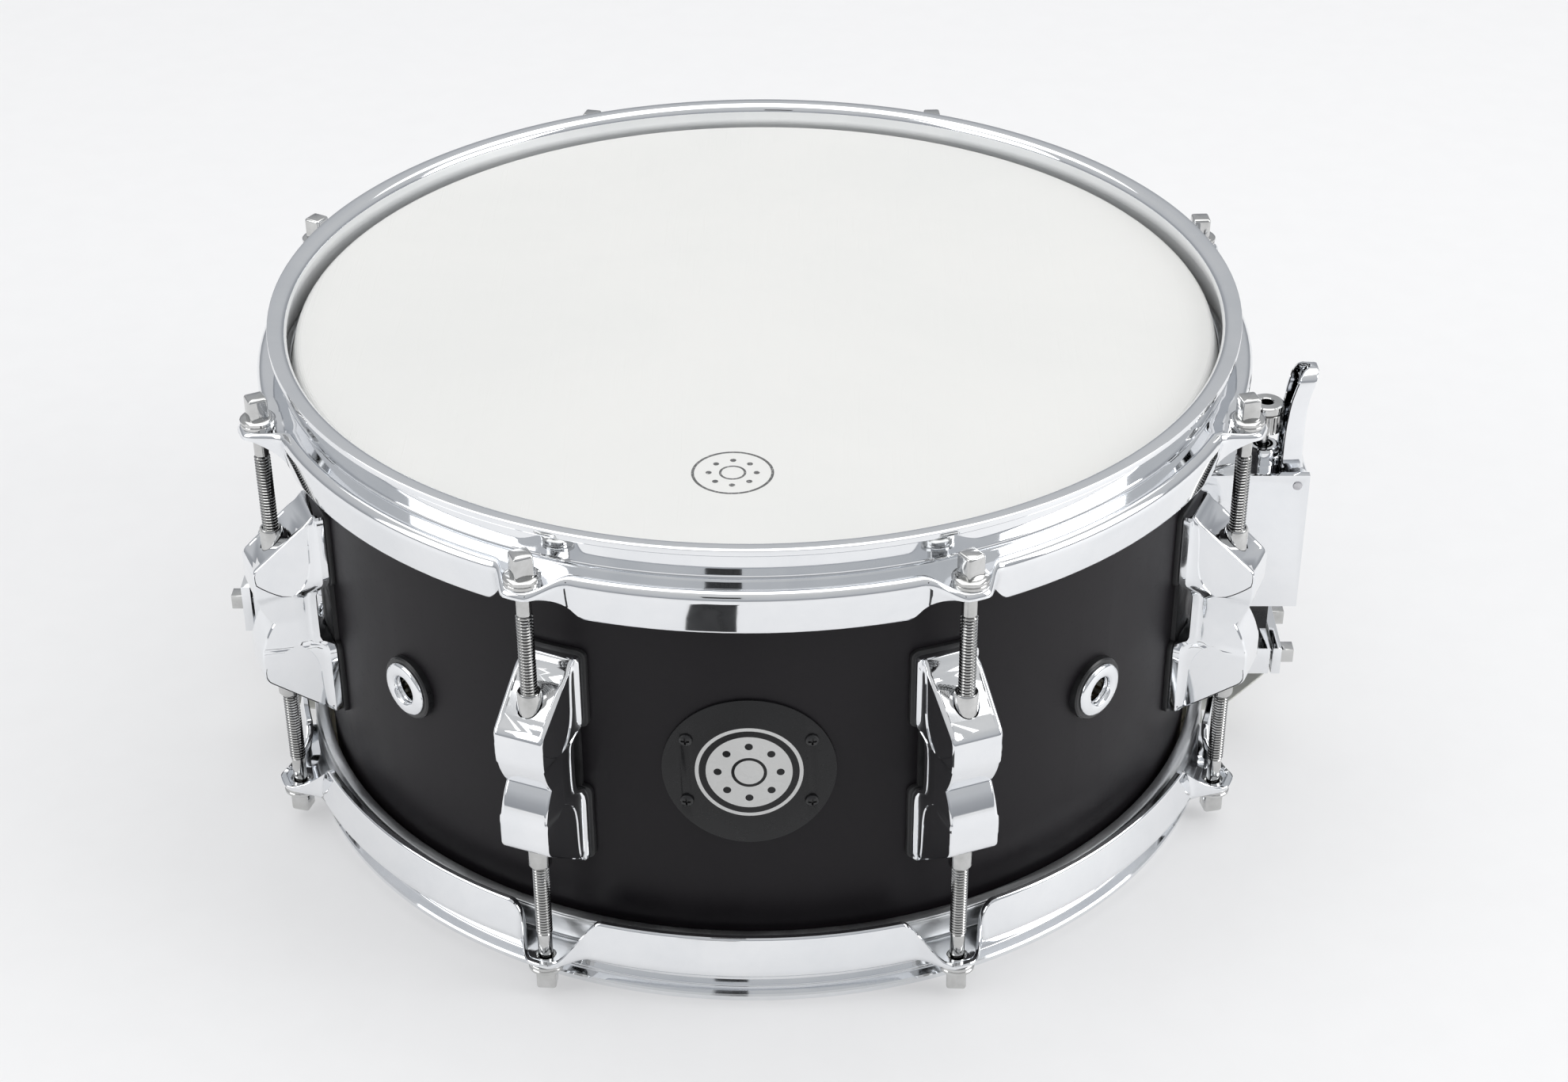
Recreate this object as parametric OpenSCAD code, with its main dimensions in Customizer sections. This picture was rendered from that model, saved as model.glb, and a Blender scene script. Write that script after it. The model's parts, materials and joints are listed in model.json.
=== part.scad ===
// Twelve inch snare drum: wooden shell, triple flanged hoops, eight double ended lugs,
// sixteen tension rods, a throw-off strainer on the +X side and a butt plate on the -X side.
// Origin: middle of the drum in the plane of the lower hoop's lip. +Z up, front is -Y.

/* [Shell] */
// Outside radius of the wooden shell
shell_r = 151.5; // [140:0.5:170]
// Depth of the shell between its two bearing edges
shell_depth = 152.4; // [130:0.1:185]
// Thickness of the shell's wall
shell_wall = 7; // [6:0.5:9]
// Bearing edge: how far its crest lies inside the outer face
edge_inset = 2; // [1.5:0.5:3]
// Snare bed: depth of the dip in the lower bearing edge
bed_depth = 1.5; // [0.5:0.1:2]
// Snare bed: half of its width
bed_half_w = 40; // [30:1:50]
// Diameter of each vent hole in the shell
vent_hole_d = 13; // [10:0.5:14]

/* [Heads] */
// Thickness of the drum head's film
film_t = 0.4; // [0.3:0.05:0.6]
// Radial gap between the shell and the flesh hoop
flesh_gap = 1.9; // [1.5:0.1:2.5]
// Radial thickness of the flesh hoop
flesh_t = 4.6; // [3.5:0.1:5]
// Height of the flesh hoop
flesh_h = 9; // [7:0.5:10]

/* [Hoops] */
// Height of the hoop's lip above the crest of the bearing edge
lip_rise = 7.65; // [6.5:0.05:10]
// Thickness of the hoop's sheet steel
sheet_t = 2.3; // [1.6:0.1:2.6]
// Gap between the hoop's neck and the shell's outer face
neck_gap = 2.2; // [2:0.1:3]
// Outward reach of the lip beyond the neck's inner face
lip_reach = 6.3; // [5:0.1:8]
// Depth of the shelf's upper face below the lip
shelf_drop = 12; // [10.5:0.5:14]
// Outward reach of the shelf beyond the neck's inner face
shelf_reach = 10.8; // [10:0.1:12]
// Depth of the skirt's free edge below the lip
skirt_drop = 27; // [25:0.5:30]
// How far the skirt leans inward at its free edge
skirt_lean = 2.3; // [1:0.1:2.6]
// Width of each ear that holds a tension rod
ear_w = 19; // [17:0.5:22]
// Reach of each ear beyond the rod's axis
ear_reach = 6.3; // [6:0.1:8]
// Depth of the ear's upper face below the lip
ear_drop = 13.5; // [12.5:0.5:15]
// Width of the snare gate in the lower hoop
gate_w = 64; // [56:1:72]

/* [Tension rods] */
// Distance from the shell's outer face to the rods' circle
rod_offset = 16.7; // [16:0.1:18]
// Size of the square key head across its flats
key_af = 6.2; // [5.8:0.1:6.6]
// Height of the square key head
key_h = 7.2; // [7:0.1:10]
// Diameter of the head's round collar
collar_d = 11.3; // [10:0.1:12]
// Thickness of the head's round collar
collar_t = 1.6; // [1.2:0.1:2]
// Diameter of the smooth neck under the collar
neck_d = 4.6; // [4:0.1:4.8]
// Diameter over the rolled thread
thread_d = 5.2; // [5:0.1:5.6]
// Length of the smooth neck
neck_len = 12; // [8:0.5:16]
// Length of rod that is screwed into its swivel nut
engage_len = 15; // [10:0.5:18]
// Outside diameter of the washer under the collar
washer_d = 11; // [10:0.1:12]
// Thickness of the washer under the collar
washer_t = 1.2; // [0.8:0.1:1.6]

/* [Lugs] */
// Number of lugs round the shell
lug_count = 8; // [6:2:10]
// Height of the lug's base flange
lug_h = 76; // [70:1:84]
// Width of the lug's base flange
lug_w = 20; // [18:0.5:23]
// Width of the lug's body at its nose
lug_nose_w = 15.5; // [14:0.5:16]
// Distance from the shell's outer face to the lug's nose
lug_out = 25.8; // [25:0.1:28]
// Thickness of the rubber gasket behind the lug
gasket_t = 1.5; // [1:0.1:2]
// Distance between the lug's two mounting screws
lug_screw_gap = 48; // [44:1:52]
// Outside diameter of the swivel nut's barrel
nut_d = 7.4; // [7.2:0.1:8]
// Length of the swivel nut
nut_len = 22; // [18:0.5:24]
// Distance from the lug's middle to the swivel nut's outer end
nut_end = 32.5; // [30:0.5:34]

/* [Badge and vents] */
// Diameter of the round plate on the front of the shell
badge_d = 53; // [40:1:60]
// Thickness of the round plate
badge_t = 0.8; // [0.6:0.1:1.2]
// Outside diameter of the vent grommet's flange
vent_flange_d = 18; // [15:0.5:20]
// Outside diameter of the black washer behind the vent grommet
vent_washer_d = 21; // [20.5:0.5:24]

/* [Strainer and butt] */
// Width of the strainer's housing
housing_w = 24; // [22:0.5:28]
// Height of the strainer's housing
housing_h = 53; // [50:1:60]
// Depth of the housing from its foot to its outer face
housing_d = 33; // [32:0.5:36]
// Height of the housing's lower end above the floor
housing_z = 51; // [48:1:54]
// Wall of the strainer's housing
housing_wall = 2.5; // [2:0.1:3]
// Length of the throw lever above its pin
lever_len = 40; // [34:1:46]
// Width of the throw lever
lever_w = 13; // [10:0.5:14]
// Diameter of the knurled tuning knob
knob_d = 9.4; // [8:0.1:12]
// Travel of the slide when the lever is thrown off
release_travel = 5.5; // [4:0.1:6]
// Width of the butt plate's body
butt_w = 38; // [34:1:42]
// Height of the butt plate's body
butt_h = 26; // [24:1:30]

/* [Snares] */
// Number of snare wires
wire_count = 20; // [12:2:24]
// Diameter of each coiled snare wire
wire_d = 2.1; // [1.8:0.1:2.2]
// Distance between neighbouring snare wires
wire_pitch = 2.5; // [2.4:0.1:2.6]
// Length of the coiled wires between the end plates
wire_len = 236; // [210:1:240]
// Width of the plastic straps
strap_w = 20; // [16:0.5:20.5]

/* [Hidden] */
$fn = 72;

// Heights. Everything is measured up from the lower lip and mirrored about the middle.
total_h = shell_depth + 2 * lip_rise;
mid_z = total_h / 2;
crest_z = total_h - lip_rise;

// Hoop radii
hoop_in_r = shell_r + neck_gap;
lip_r = hoop_in_r + lip_reach;
skirt_r = hoop_in_r + shelf_reach;
bend_r = 3.2;
flesh_top = total_h - shelf_drop - sheet_t;
flesh_in_r = shell_r + flesh_gap;

// Rods and lugs
rod_r = shell_r + rod_offset;
lug_step = 360 / lug_count;
lug_angles = [for (i = [0 : lug_count - 1]) -90 + lug_step / 2 + i * lug_step];
running_gap = 0.05;
face_gap = 0.05;
seat_gap = 0.02;
ear_top = total_h - ear_drop;
ear_hole_d = neck_d + 2;
collar_z = ear_top + washer_t + face_gap;
rod_end_z = mid_z + nut_end - engage_len;
rod_tip_z = collar_z + collar_t + key_h;
lug_back_r = shell_r + gasket_t;
lug_nose_r = shell_r + lug_out;
lug_flange_t = 3.5;
lug_pad_in = 12;
lug_corner = 2.5;
lug_top = lug_h / 2 - 2;
lug_shoulder = 22;
lug_screw_d = 4;
lug_boss_depth = 9;
nut_flange_d = 9.4;
nut_flange_t = 2.4;
nut_clear = 0.6;
screw_head_d = 9;
screw_head_t = 3.4;
shell_hole_d = 5;
shell_washer_t = 1.1;
shell_washer_d = screw_head_d + 2;

// Badge and vents
vent_angles = [-135, -45];
vent_bore_d = vent_hole_d - 4;
vent_flange_t = 1.4;
vent_washer_t = 0.8;
badge_screw_x = 19;
badge_screw_z = 11.3;
badge_screw_d = 3.6;

// Strainer, measured outward from the shell's axis along +X
foot_x = shell_r + 1;
housing_x = foot_x + 2.5 + housing_d;
housing_top = housing_z + housing_h;
shelf_t = 3;
lever_pin = [housing_x - 4, housing_top - 4];
lever_pin_d = 3.2;
lever_hub_d = 9;
slot_floor = housing_top - 13;
screw_x = housing_x - 15;
boss_d = 7;
boss_h = 6;
tune_screw_d = 4;
knob_z = housing_top + boss_h + release_travel + 0.3;
knob_h = 10.5;
slide_w = housing_w - 2 * housing_wall - 1.2;
slide_x = [screw_x - 7, screw_x + 6];
slide_z = [housing_z - 11.5, slot_floor - 2.5];
stem_d = 8;
clamp_z = [housing_z - 24.5, housing_z - 14];
clamp_face = screw_x + 6.6;
strap_t = 0.6;
strap_gap = 0.1;
plate_t = 3.2;
key_screw_af = 5.2;
key_screw_h = 4.8;
clamp_screw_y = 12;
clamp_w = 36;
strainer_screw_z = [housing_z + 10, housing_top - 12];

// Butt plate, measured outward from the shell's axis along -X
butt_z = 54;
butt_face = shell_r + 23.2;
butt_screw_y = clamp_screw_y;

// Snares
wire_z = lip_rise - film_t - 0.45 - wire_d / 2;
end_plate_t = 1;
end_plate_l = 14;
end_plate_w = wire_count * wire_pitch + 2;
strap_in_x = wire_len / 2 + 3;
strap_z = wire_z - end_plate_t / 2 - strap_t - 0.05;
strap_out = [lip_r + 1.5, 3.6];

// ---------------------------------------------------------------- helpers

function arc(c, r, a0, a1, n = 6) =
    [for (i = [0 : n]) c + r * [cos(a0 + (a1 - a0) * i / n), sin(a0 + (a1 - a0) * i / n)]];

function flip(points) = [for (i = [len(points) - 1 : -1 : 0]) [points[i][0], -points[i][1]]];

// Puts a child that was drawn for the +X side at each of the given angles
module at_angles(angles) {
    for (a = angles) rotate([0, 0, a]) children();
}

// Turns a child drawn for the batter side over to the snare side
module turned_over() {
    translate([0, 0, total_h]) mirror([0, 0, 1]) children();
}

// A cylinder that lies along X, starting at x = from
module x_cylinder(from, length, d) {
    translate([from, 0, 0]) rotate([0, 90, 0]) cylinder(h = length, d = d);
}

module rounded_rectangle(w, h, r) {
    square([w - 2 * r, h], center = true);
    square([w, h - 2 * r], center = true);
    for (x = [-1, 1], y = [-1, 1]) translate([x * (w / 2 - r), y * (h / 2 - r)]) circle(r);
}

// ---------------------------------------------------------------- shell and heads

module shell_profile() {
    crest_r = shell_r - edge_inset;
    in_r = shell_r - shell_wall;
    slope = crest_r - in_r;
    upper = concat(arc([crest_r, crest_z - mid_z - edge_inset], edge_inset, 0, 90, 5),
                   [[in_r, crest_z - mid_z - slope]]);
    translate([0, mid_z]) polygon(concat(upper, flip(upper)));
}

module shell() {
    bed_r = (bed_half_w * bed_half_w + bed_depth * bed_depth) / (2 * bed_depth);
    color("#2b2b2d") difference() {
        rotate_extrude($fn = 180) shell_profile();
        translate([0, 0, lip_rise + bed_depth - bed_r]) rotate([0, 90, 0])
            cylinder(h = 2 * shell_r + 20, r = bed_r, center = true, $fn = 360);
        at_angles(vent_angles) translate([0, 0, mid_z])
            x_cylinder(shell_r - 20, 40, vent_hole_d);
        at_angles(lug_angles) for (s = [-1, 1]) translate([0, 0, mid_z + s * lug_screw_gap / 2])
            x_cylinder(shell_r - 20, 40, shell_hole_d);
        for (z = strainer_screw_z) translate([0, 0, z]) x_cylinder(shell_r - 20, 40, shell_hole_d);
        for (s = [-1, 1]) translate([0, s * butt_screw_y, butt_z]) rotate([0, 0, 180])
            x_cylinder(shell_r - 20, 40, shell_hole_d);
    }
}

// The film lies over the crest and its collar runs down into the flesh hoop
module head_film() {
    crest = [shell_r - edge_inset, crest_z - edge_inset];
    inner_r = edge_inset + face_gap;
    low = flesh_top - 6;
    color("#e9eaea") rotate_extrude($fn = 180) polygon(concat(
        [[0, crest[1] + inner_r]],
        arc(crest, inner_r, 90, 10, 5),
        [[flesh_in_r - film_t, flesh_top - 1]],
        [[flesh_in_r - film_t, low]],
        [[flesh_in_r, low]],
        [[flesh_in_r, flesh_top - 0.4]],
        arc(crest, inner_r + film_t, 10, 90, 5),
        [[0, crest[1] + inner_r + film_t]]));
}

module flesh_hoop() {
    out_r = flesh_in_r + flesh_t;
    color("#b9bcbf") rotate_extrude($fn = 180) polygon([
        [flesh_in_r, flesh_top],
        [out_r - 1, flesh_top],
        [out_r, flesh_top - 1],
        [out_r, flesh_top - flesh_h + 1],
        [out_r - 1, flesh_top - flesh_h],
        [flesh_in_r, flesh_top - flesh_h]]);
}

// ---------------------------------------------------------------- hoops

// Section of the sheet steel: lip, neck, shelf and skirt, drawn down from the lip at height 0
module hoop_section() {
    t = sheet_t;
    lean = atan(skirt_lean / (skirt_drop - shelf_drop - bend_r));
    shelf_end = [skirt_r - bend_r, -shelf_drop - bend_r];
    polygon(concat(
        [[lip_r, 0]],
        arc([hoop_in_r + bend_r, -bend_r], bend_r, 90, 180),
        [[hoop_in_r, -shelf_drop - t]],
        arc(shelf_end, bend_r - t, 90, -lean, 5),
        [[skirt_r - t - skirt_lean, -skirt_drop]],
        [[skirt_r - skirt_lean, -skirt_drop]],
        arc(shelf_end, bend_r, -lean, 90),
        [[hoop_in_r + t + 0.8, -shelf_drop]],
        [[hoop_in_r + t, -shelf_drop + 0.8]],
        arc([hoop_in_r + bend_r, -bend_r], bend_r - t, 180, 90, 4),
        [[lip_r, -t]]));
}

// The skirt's free edge rises to the ear in an S-curve on each side of the rod
function skirt_rise(y0, y1, low, high, n = 8) =
    [for (i = [0 : n]) [y0 + (y1 - y0) * i / n, low + (high - low) * (1 + cos(180 * i / n)) / 2]];

module skirt_window() {
    side = skirt_rise(ear_w / 2 - 1, ear_w / 2 + 11, -skirt_drop - 1, -ear_drop - sheet_t);
    left = [for (i = [len(side) - 1 : -1 : 0]) [-side[i][0], side[i][1]]];
    translate([hoop_in_r + sheet_t + 2, 0, total_h]) rotate([90, 0, 90])
        linear_extrude(30) polygon(concat(left, side));
}

module ear_plate() {
    back = flesh_in_r + flesh_t + 1;
    tip = rod_r + ear_reach;
    corner = 5;
    translate([0, 0, ear_top - sheet_t]) linear_extrude(sheet_t) difference() {
        union() {
            translate([back, -ear_w / 2]) square([tip - corner - back, ear_w]);
            translate([back, -ear_w / 2 + corner]) square([tip - back, ear_w - 2 * corner]);
            for (s = [-1, 1]) translate([tip - corner, s * (ear_w / 2 - corner)]) circle(corner);
        }
        translate([rod_r, 0]) circle(d = ear_hole_d);
    }
}

module hoop() {
    difference() {
        translate([0, 0, total_h]) rotate_extrude($fn = 180) hoop_section();
        at_angles(lug_angles) skirt_window();
        at_angles(lug_angles) translate([rod_r, 0, ear_top]) cylinder(h = 20, d = collar_d + 1);
    }
    at_angles(lug_angles) ear_plate();
}

module batter_hoop() {
    color("#d5d8db") hoop();
}

// The snare gates leave only the lip, so that the straps pass over it
module snare_hoop() {
    gate_floor = sheet_t + 0.2;
    color("#d5d8db") difference() {
        turned_over() hoop();
        for (s = [-1, 1]) translate([s * (shell_r + 10), 0, gate_floor + 20])
            cube([24, gate_w, 40], center = true);
    }
}

// ---------------------------------------------------------------- lugs

// Side view of the lug's body: radius across, height from its middle up
module lug_side() {
    valley = [lug_nose_r - 4.8, 0];
    round_r = 9;
    half = concat(
        [[lug_back_r - 3, lug_top]],
        [[lug_back_r + lug_flange_t + 2, lug_top]],
        [[lug_nose_r - 1, lug_shoulder]],
        [[lug_nose_r, lug_shoulder - 2]],
        arc([lug_nose_r - round_r, lug_shoulder - 9], round_r, 0, -62, 6),
        [valley]);
    polygon(concat(half, flip([for (i = [0 : len(half) - 2]) half[i]])));
}

// Front view of the base flange: two pads joined by a narrower waist
module lug_outline(grow = 0) {
    pad_h = lug_h / 2 - lug_pad_in;
    for (s = [-1, 1]) translate([0, s * (lug_pad_in + pad_h / 2)])
        rounded_rectangle(lug_w + 2 * grow, pad_h + 2 * grow, lug_corner);
    square([lug_nose_w - 2 + 2 * grow, 2 * lug_pad_in + 4], center = true);
}

module lug() {
    pocket_z = nut_end - nut_len - 1;
    pocket_h = nut_flange_t + 1;
    pocket_w = nut_flange_d + nut_clear;
    color("#d5d8db") difference() {
        union() {
            translate([lug_back_r - 3, 0, mid_z]) rotate([90, 0, 90])
                linear_extrude(lug_flange_t + 3) lug_outline();
            intersection() {
                translate([0, lug_w / 2, mid_z]) rotate([90, 0, 0]) linear_extrude(lug_w) lug_side();
                translate([0, 0, mid_z - lug_h / 2]) linear_extrude(lug_h) polygon([
                    [lug_back_r - 3, -lug_nose_w / 2 - 0.8],
                    [lug_nose_r + 1, -lug_nose_w / 2],
                    [lug_nose_r + 1, lug_nose_w / 2],
                    [lug_back_r - 3, lug_nose_w / 2 + 0.8]]);
            }
        }
        cylinder(h = total_h, r = lug_back_r + seat_gap, $fn = 180);
        translate([lug_back_r - 4, -lug_nose_w / 2 + 2.5, mid_z - 10])
            cube([rod_r - lug_back_r, lug_nose_w - 5, 20]);
        for (s = [-1, 1]) {
            translate([0, 0, mid_z + s * lug_screw_gap / 2])
                x_cylinder(lug_back_r - 4, 4 + lug_boss_depth - 1, lug_screw_d);
            translate([rod_r, 0, mid_z]) mirror([0, 0, s < 0 ? 1 : 0]) {
                translate([0, 0, pocket_z]) {
                    cylinder(h = lug_h, d = nut_d + nut_clear);
                    cylinder(h = pocket_h, d = nut_flange_d + nut_clear);
                    translate([lug_back_r - 4 - rod_r, -pocket_w / 2, 0])
                        cube([rod_r - lug_back_r + 4, pocket_w, pocket_h]);
                }
            }
        }
    }
}

module swivel_nut() {
    low = nut_end - nut_len;
    difference() {
        union() {
            translate([0, 0, low]) cylinder(h = nut_len, d = nut_d);
            translate([0, 0, low]) cylinder(h = nut_flange_t, d = nut_flange_d);
        }
        translate([0, 0, low - 1]) cylinder(h = nut_len + 2, d = thread_d + 2 * running_gap);
    }
}

module swivel_nuts() {
    color("#c3bfb6") at_angles(lug_angles) translate([rod_r, 0, mid_z]) {
        swivel_nut();
        mirror([0, 0, 1]) swivel_nut();
    }
}

module lug_gaskets() {
    color("#161616") at_angles(lug_angles) difference() {
        intersection() {
            translate([shell_r - 6, 0, mid_z]) rotate([90, 0, 90])
                linear_extrude(gasket_t + 12) lug_outline(0.8);
            cylinder(h = total_h, r = lug_back_r, $fn = 180);
        }
        cylinder(h = total_h, r = shell_r + seat_gap, $fn = 180);
        for (s = [-1, 1]) translate([0, 0, mid_z + s * lug_screw_gap / 2])
            x_cylinder(shell_r - 8, 20, shell_hole_d);
    }
}

// Where the outer face of a flat washer lies, when its rim meets the shell's hollow inner face
function washer_seat(side) =
    sqrt(pow(shell_r - shell_wall, 2) - pow(side + shell_washer_d / 2, 2)) - seat_gap;

// A mounting screw with its head inside the shell
module shell_screw(reach, side = 0) {
    head_x = washer_seat(side) - shell_washer_t;
    x_cylinder(head_x - screw_head_t, screw_head_t, screw_head_d);
    x_cylinder(head_x - 0.1, reach - head_x, lug_screw_d - 2 * running_gap);
}

module shell_washer(side = 0) {
    difference() {
        x_cylinder(washer_seat(side) - shell_washer_t, shell_washer_t, shell_washer_d);
        x_cylinder(washer_seat(side) - 4, 10, lug_screw_d + 0.4);
    }
}

module lug_screws() {
    color("#a7a9ab") at_angles(lug_angles) for (s = [-1, 1])
        translate([0, 0, mid_z + s * lug_screw_gap / 2]) shell_screw(lug_back_r + 6);
}

module screw_washers() {
    color("#8d8f91") {
        at_angles(lug_angles) for (s = [-1, 1])
            translate([0, 0, mid_z + s * lug_screw_gap / 2]) shell_washer();
        for (z = strainer_screw_z) translate([0, 0, z]) shell_washer();
        rotate([0, 0, 180]) for (s = [-1, 1])
            translate([0, s * butt_screw_y, butt_z]) shell_washer(butt_screw_y);
    }
}

// ---------------------------------------------------------------- tension rods

module tension_rod() {
    thread_top = collar_z - neck_len;
    cap = 1.2;
    translate([rod_r, 0, 0]) {
        translate([0, 0, rod_end_z]) cylinder(h = thread_top - rod_end_z, d = thread_d);
        translate([0, 0, thread_top - 0.1]) cylinder(h = neck_len + 0.2, d = neck_d);
        translate([0, 0, collar_z]) cylinder(h = collar_t, d = collar_d);
        intersection() {
            translate([-key_af / 2, -key_af / 2, collar_z]) cube([key_af, key_af, collar_t + key_h]);
            translate([0, 0, collar_z]) cylinder(h = collar_t + key_h - cap, d = key_af * 1.32);
        }
        translate([0, 0, rod_tip_z - cap - 0.1]) cylinder(h = cap + 0.1, d = key_af * 0.86);
    }
}

module batter_rod(i) {
    color("#c9c6c0") rotate([0, 0, lug_angles[i - 1]]) tension_rod();
}

module snare_rod(i) {
    color("#c9c6c0") rotate([0, 0, lug_angles[i - 1]]) turned_over() tension_rod();
}

module rod_washers() {
    color("#b4b2ad") at_angles(lug_angles) translate([rod_r, 0, ear_top]) difference() {
        cylinder(h = washer_t, d = washer_d);
        translate([0, 0, -1]) cylinder(h = washer_t + 2, d = neck_d + 1);
    }
}

// ---------------------------------------------------------------- vents and badge

// A flanged tube through the shell; its flange is cut to the curve of the shell
module vent_grommets() {
    in_r = shell_r - shell_wall;
    color("#d5d8db") at_angles(vent_angles) translate([0, 0, mid_z]) difference() {
        union() {
            x_cylinder(in_r - 3.4, shell_wall + 4.4, vent_hole_d - 0.4);
            difference() {
                x_cylinder(shell_r - 3, 3 + vent_washer_t + vent_flange_t, vent_flange_d);
                cylinder(h = 60, r = shell_r + vent_washer_t + seat_gap, center = true, $fn = 180);
            }
        }
        x_cylinder(in_r - 10, shell_wall + 30, vent_bore_d);
    }
}

module vent_washers() {
    color("#1b1b1b") at_angles(vent_angles) translate([0, 0, mid_z]) difference() {
        intersection() {
            x_cylinder(shell_r - 4, 8, vent_washer_d);
            cylinder(h = 60, r = shell_r + vent_washer_t, center = true, $fn = 180);
        }
        cylinder(h = 60, r = shell_r + seat_gap, center = true, $fn = 180);
        x_cylinder(shell_r - 8, 16, vent_hole_d - 0.4);
    }
}

module vent_lock_rings() {
    in_r = shell_r - shell_wall;
    color("#9b9da0") at_angles(vent_angles) translate([0, 0, mid_z]) difference() {
        intersection() {
            x_cylinder(in_r - 2.4, 6, vent_flange_d + 1);
            cylinder(h = 60, r = in_r - seat_gap, center = true, $fn = 180);
        }
        x_cylinder(in_r - 10, 30, vent_hole_d - 0.4 + 2 * seat_gap);
    }
}

module badge_plate() {
    color("#141414") rotate([0, 0, -90]) translate([0, 0, mid_z]) difference() {
        intersection() {
            x_cylinder(shell_r - 10, 20, badge_d);
            cylinder(h = badge_d + 10, r = shell_r + badge_t, center = true, $fn = 180);
        }
        cylinder(h = badge_d + 20, r = shell_r + seat_gap, center = true, $fn = 180);
        badge_screw_places() x_cylinder(shell_r - 10, 30, badge_screw_d - 1.4);
    }
}

module badge_screw_places() {
    for (s = [-1, 1], h = [-1, 1]) rotate([0, 0, s * asin(badge_screw_x / shell_r)])
        translate([0, 0, h * badge_screw_z]) children();
}

module badge_screws() {
    color("#1c1c1c") rotate([0, 0, -90]) translate([0, 0, mid_z]) badge_screw_places() {
        x_cylinder(shell_r + badge_t, 1, badge_screw_d);
        x_cylinder(shell_r + 0.1, badge_t, badge_screw_d - 1.8);
    }
}

// ---------------------------------------------------------------- strainer

module strainer_housing() {
    w = housing_w;
    inner_w = w - 2 * housing_wall;
    color("#d2d5d8") difference() {
        translate([shell_r - 5, -w / 2, housing_z]) cube([housing_x - shell_r + 5, w, housing_h]);
        cylinder(h = total_h, r = shell_r + seat_gap, $fn = 180);
        translate([foot_x + 5, -inner_w / 2, housing_z - 1])
            cube([housing_x - housing_wall - foot_x - 5, inner_w, housing_h + 1 - shelf_t]);
        translate([screw_x + boss_d / 2 + 1, -inner_w / 2, slot_floor])
            cube([40, inner_w, housing_h]);
        translate([screw_x, 0, housing_top - 10])
            cylinder(h = 20, d = tune_screw_d + 0.8);
        translate([lever_pin[0], 0, lever_pin[1]]) rotate([90, 0, 0])
            cylinder(h = w + 2, d = lever_pin_d, center = true);
        for (z = strainer_screw_z) translate([0, 0, z]) x_cylinder(shell_r - 5, 30, lug_screw_d);
    }
    color("#c9ccd0") translate([screw_x, 0, housing_top]) difference() {
        cylinder(h = boss_h, d = boss_d);
        translate([0, 0, -1]) cylinder(h = boss_h + 2, d = tune_screw_d + 0.8);
    }
}

module strainer_screws() {
    color("#a7a9ab") for (z = strainer_screw_z) translate([0, 0, z]) shell_screw(foot_x + 4.5);
}

module lever_pin() {
    color("#8f9296") translate([lever_pin[0], 0, lever_pin[1]]) rotate([90, 0, 0])
        cylinder(h = housing_w + 0.6, d = lever_pin_d, center = true);
}

// Side view of the lever: a straight shank that leans out at its rounded tip
module lever_side() {
    polygon(concat(
        [[-5, 0]],
        [[-5.2, lever_len * 0.4]],
        [[-4.6, lever_len * 0.75]],
        arc([-1, lever_len - 3.6], 3.6, 165, 40, 5),
        [[2.8, lever_len - 3.4]],
        [[1.6, lever_len * 0.6]],
        [[1.5, 0]]));
}

module throw_lever() {
    color("#d5d8db") translate([lever_pin[0], 0, lever_pin[1]]) rotate([90, 0, 0]) difference() {
        union() {
            linear_extrude(lever_w, center = true) lever_side();
            cylinder(h = lever_w, d = lever_hub_d, center = true);
        }
        cylinder(h = lever_w + 2, d = lever_pin_d + 2 * running_gap, center = true);
        translate([-8, lever_hub_d / 2 + 2, -lever_w / 2 + 2])
            cube([6, lever_len * 0.6, lever_w - 4]);
    }
}

module slide_block() {
    color("#2a2c2f") difference() {
        translate([slide_x[0], -slide_w / 2, slide_z[0]])
            cube([slide_x[1] - slide_x[0], slide_w, slide_z[1] - slide_z[0]]);
        translate([screw_x, 0, slide_z[0] - 1])
            cylinder(h = slide_z[1] - slide_z[0] - 6, d = stem_d + 0.2);
        translate([screw_x, 0, slide_z[0]])
            cylinder(h = housing_h, d = tune_screw_d + 2 * running_gap);
    }
}

// Knob and tuning screw turn as one piece; two rings on the screw hold it in the slide block
module tuning_knob() {
    color("#c9c6c0") translate([screw_x, 0, 0]) {
        translate([0, 0, knob_z]) difference() {
            cylinder(h = knob_h, d = knob_d);
            translate([0, 0, knob_h - 4]) cylinder(h = 5, d = 3.2);
        }
        translate([0, 0, clamp_z[1] + 8]) cylinder(h = knob_z - clamp_z[1] - 7, d = tune_screw_d);
        translate([0, 0, slide_z[1] + 0.2]) cylinder(h = 1.6, d = tune_screw_d + 3);
    }
}

module snare_clamp() {
    stem_top = slide_z[1] - 14;
    back = screw_x - 6;
    color("#cfd2d5") difference() {
        union() {
            translate([back, -clamp_w / 2, clamp_z[0]])
                cube([clamp_face - back, clamp_w, clamp_z[1] - clamp_z[0]]);
            translate([screw_x, 0, clamp_z[1] - 1])
                cylinder(h = stem_top - clamp_z[1] + 1, d = stem_d);
        }
        translate([screw_x, 0, clamp_z[1] + 2])
            cylinder(h = 60, d = tune_screw_d + 2 * running_gap);
        clamp_screw_places() x_cylinder(-9, 12, 3);
    }
}

module clamp_screw_places() {
    for (s = [-1, 1]) translate([clamp_face, s * clamp_screw_y, (clamp_z[0] + clamp_z[1]) / 2])
        children();
}

module clamp_plate() {
    color("#cfd2d5") difference() {
        translate([clamp_face + strap_t + 2 * strap_gap, -clamp_w / 2, clamp_z[0]])
            cube([plate_t, clamp_w, clamp_z[1] - clamp_z[0]]);
        clamp_screw_places() x_cylinder(0, 10, 3.4);
    }
}

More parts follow.
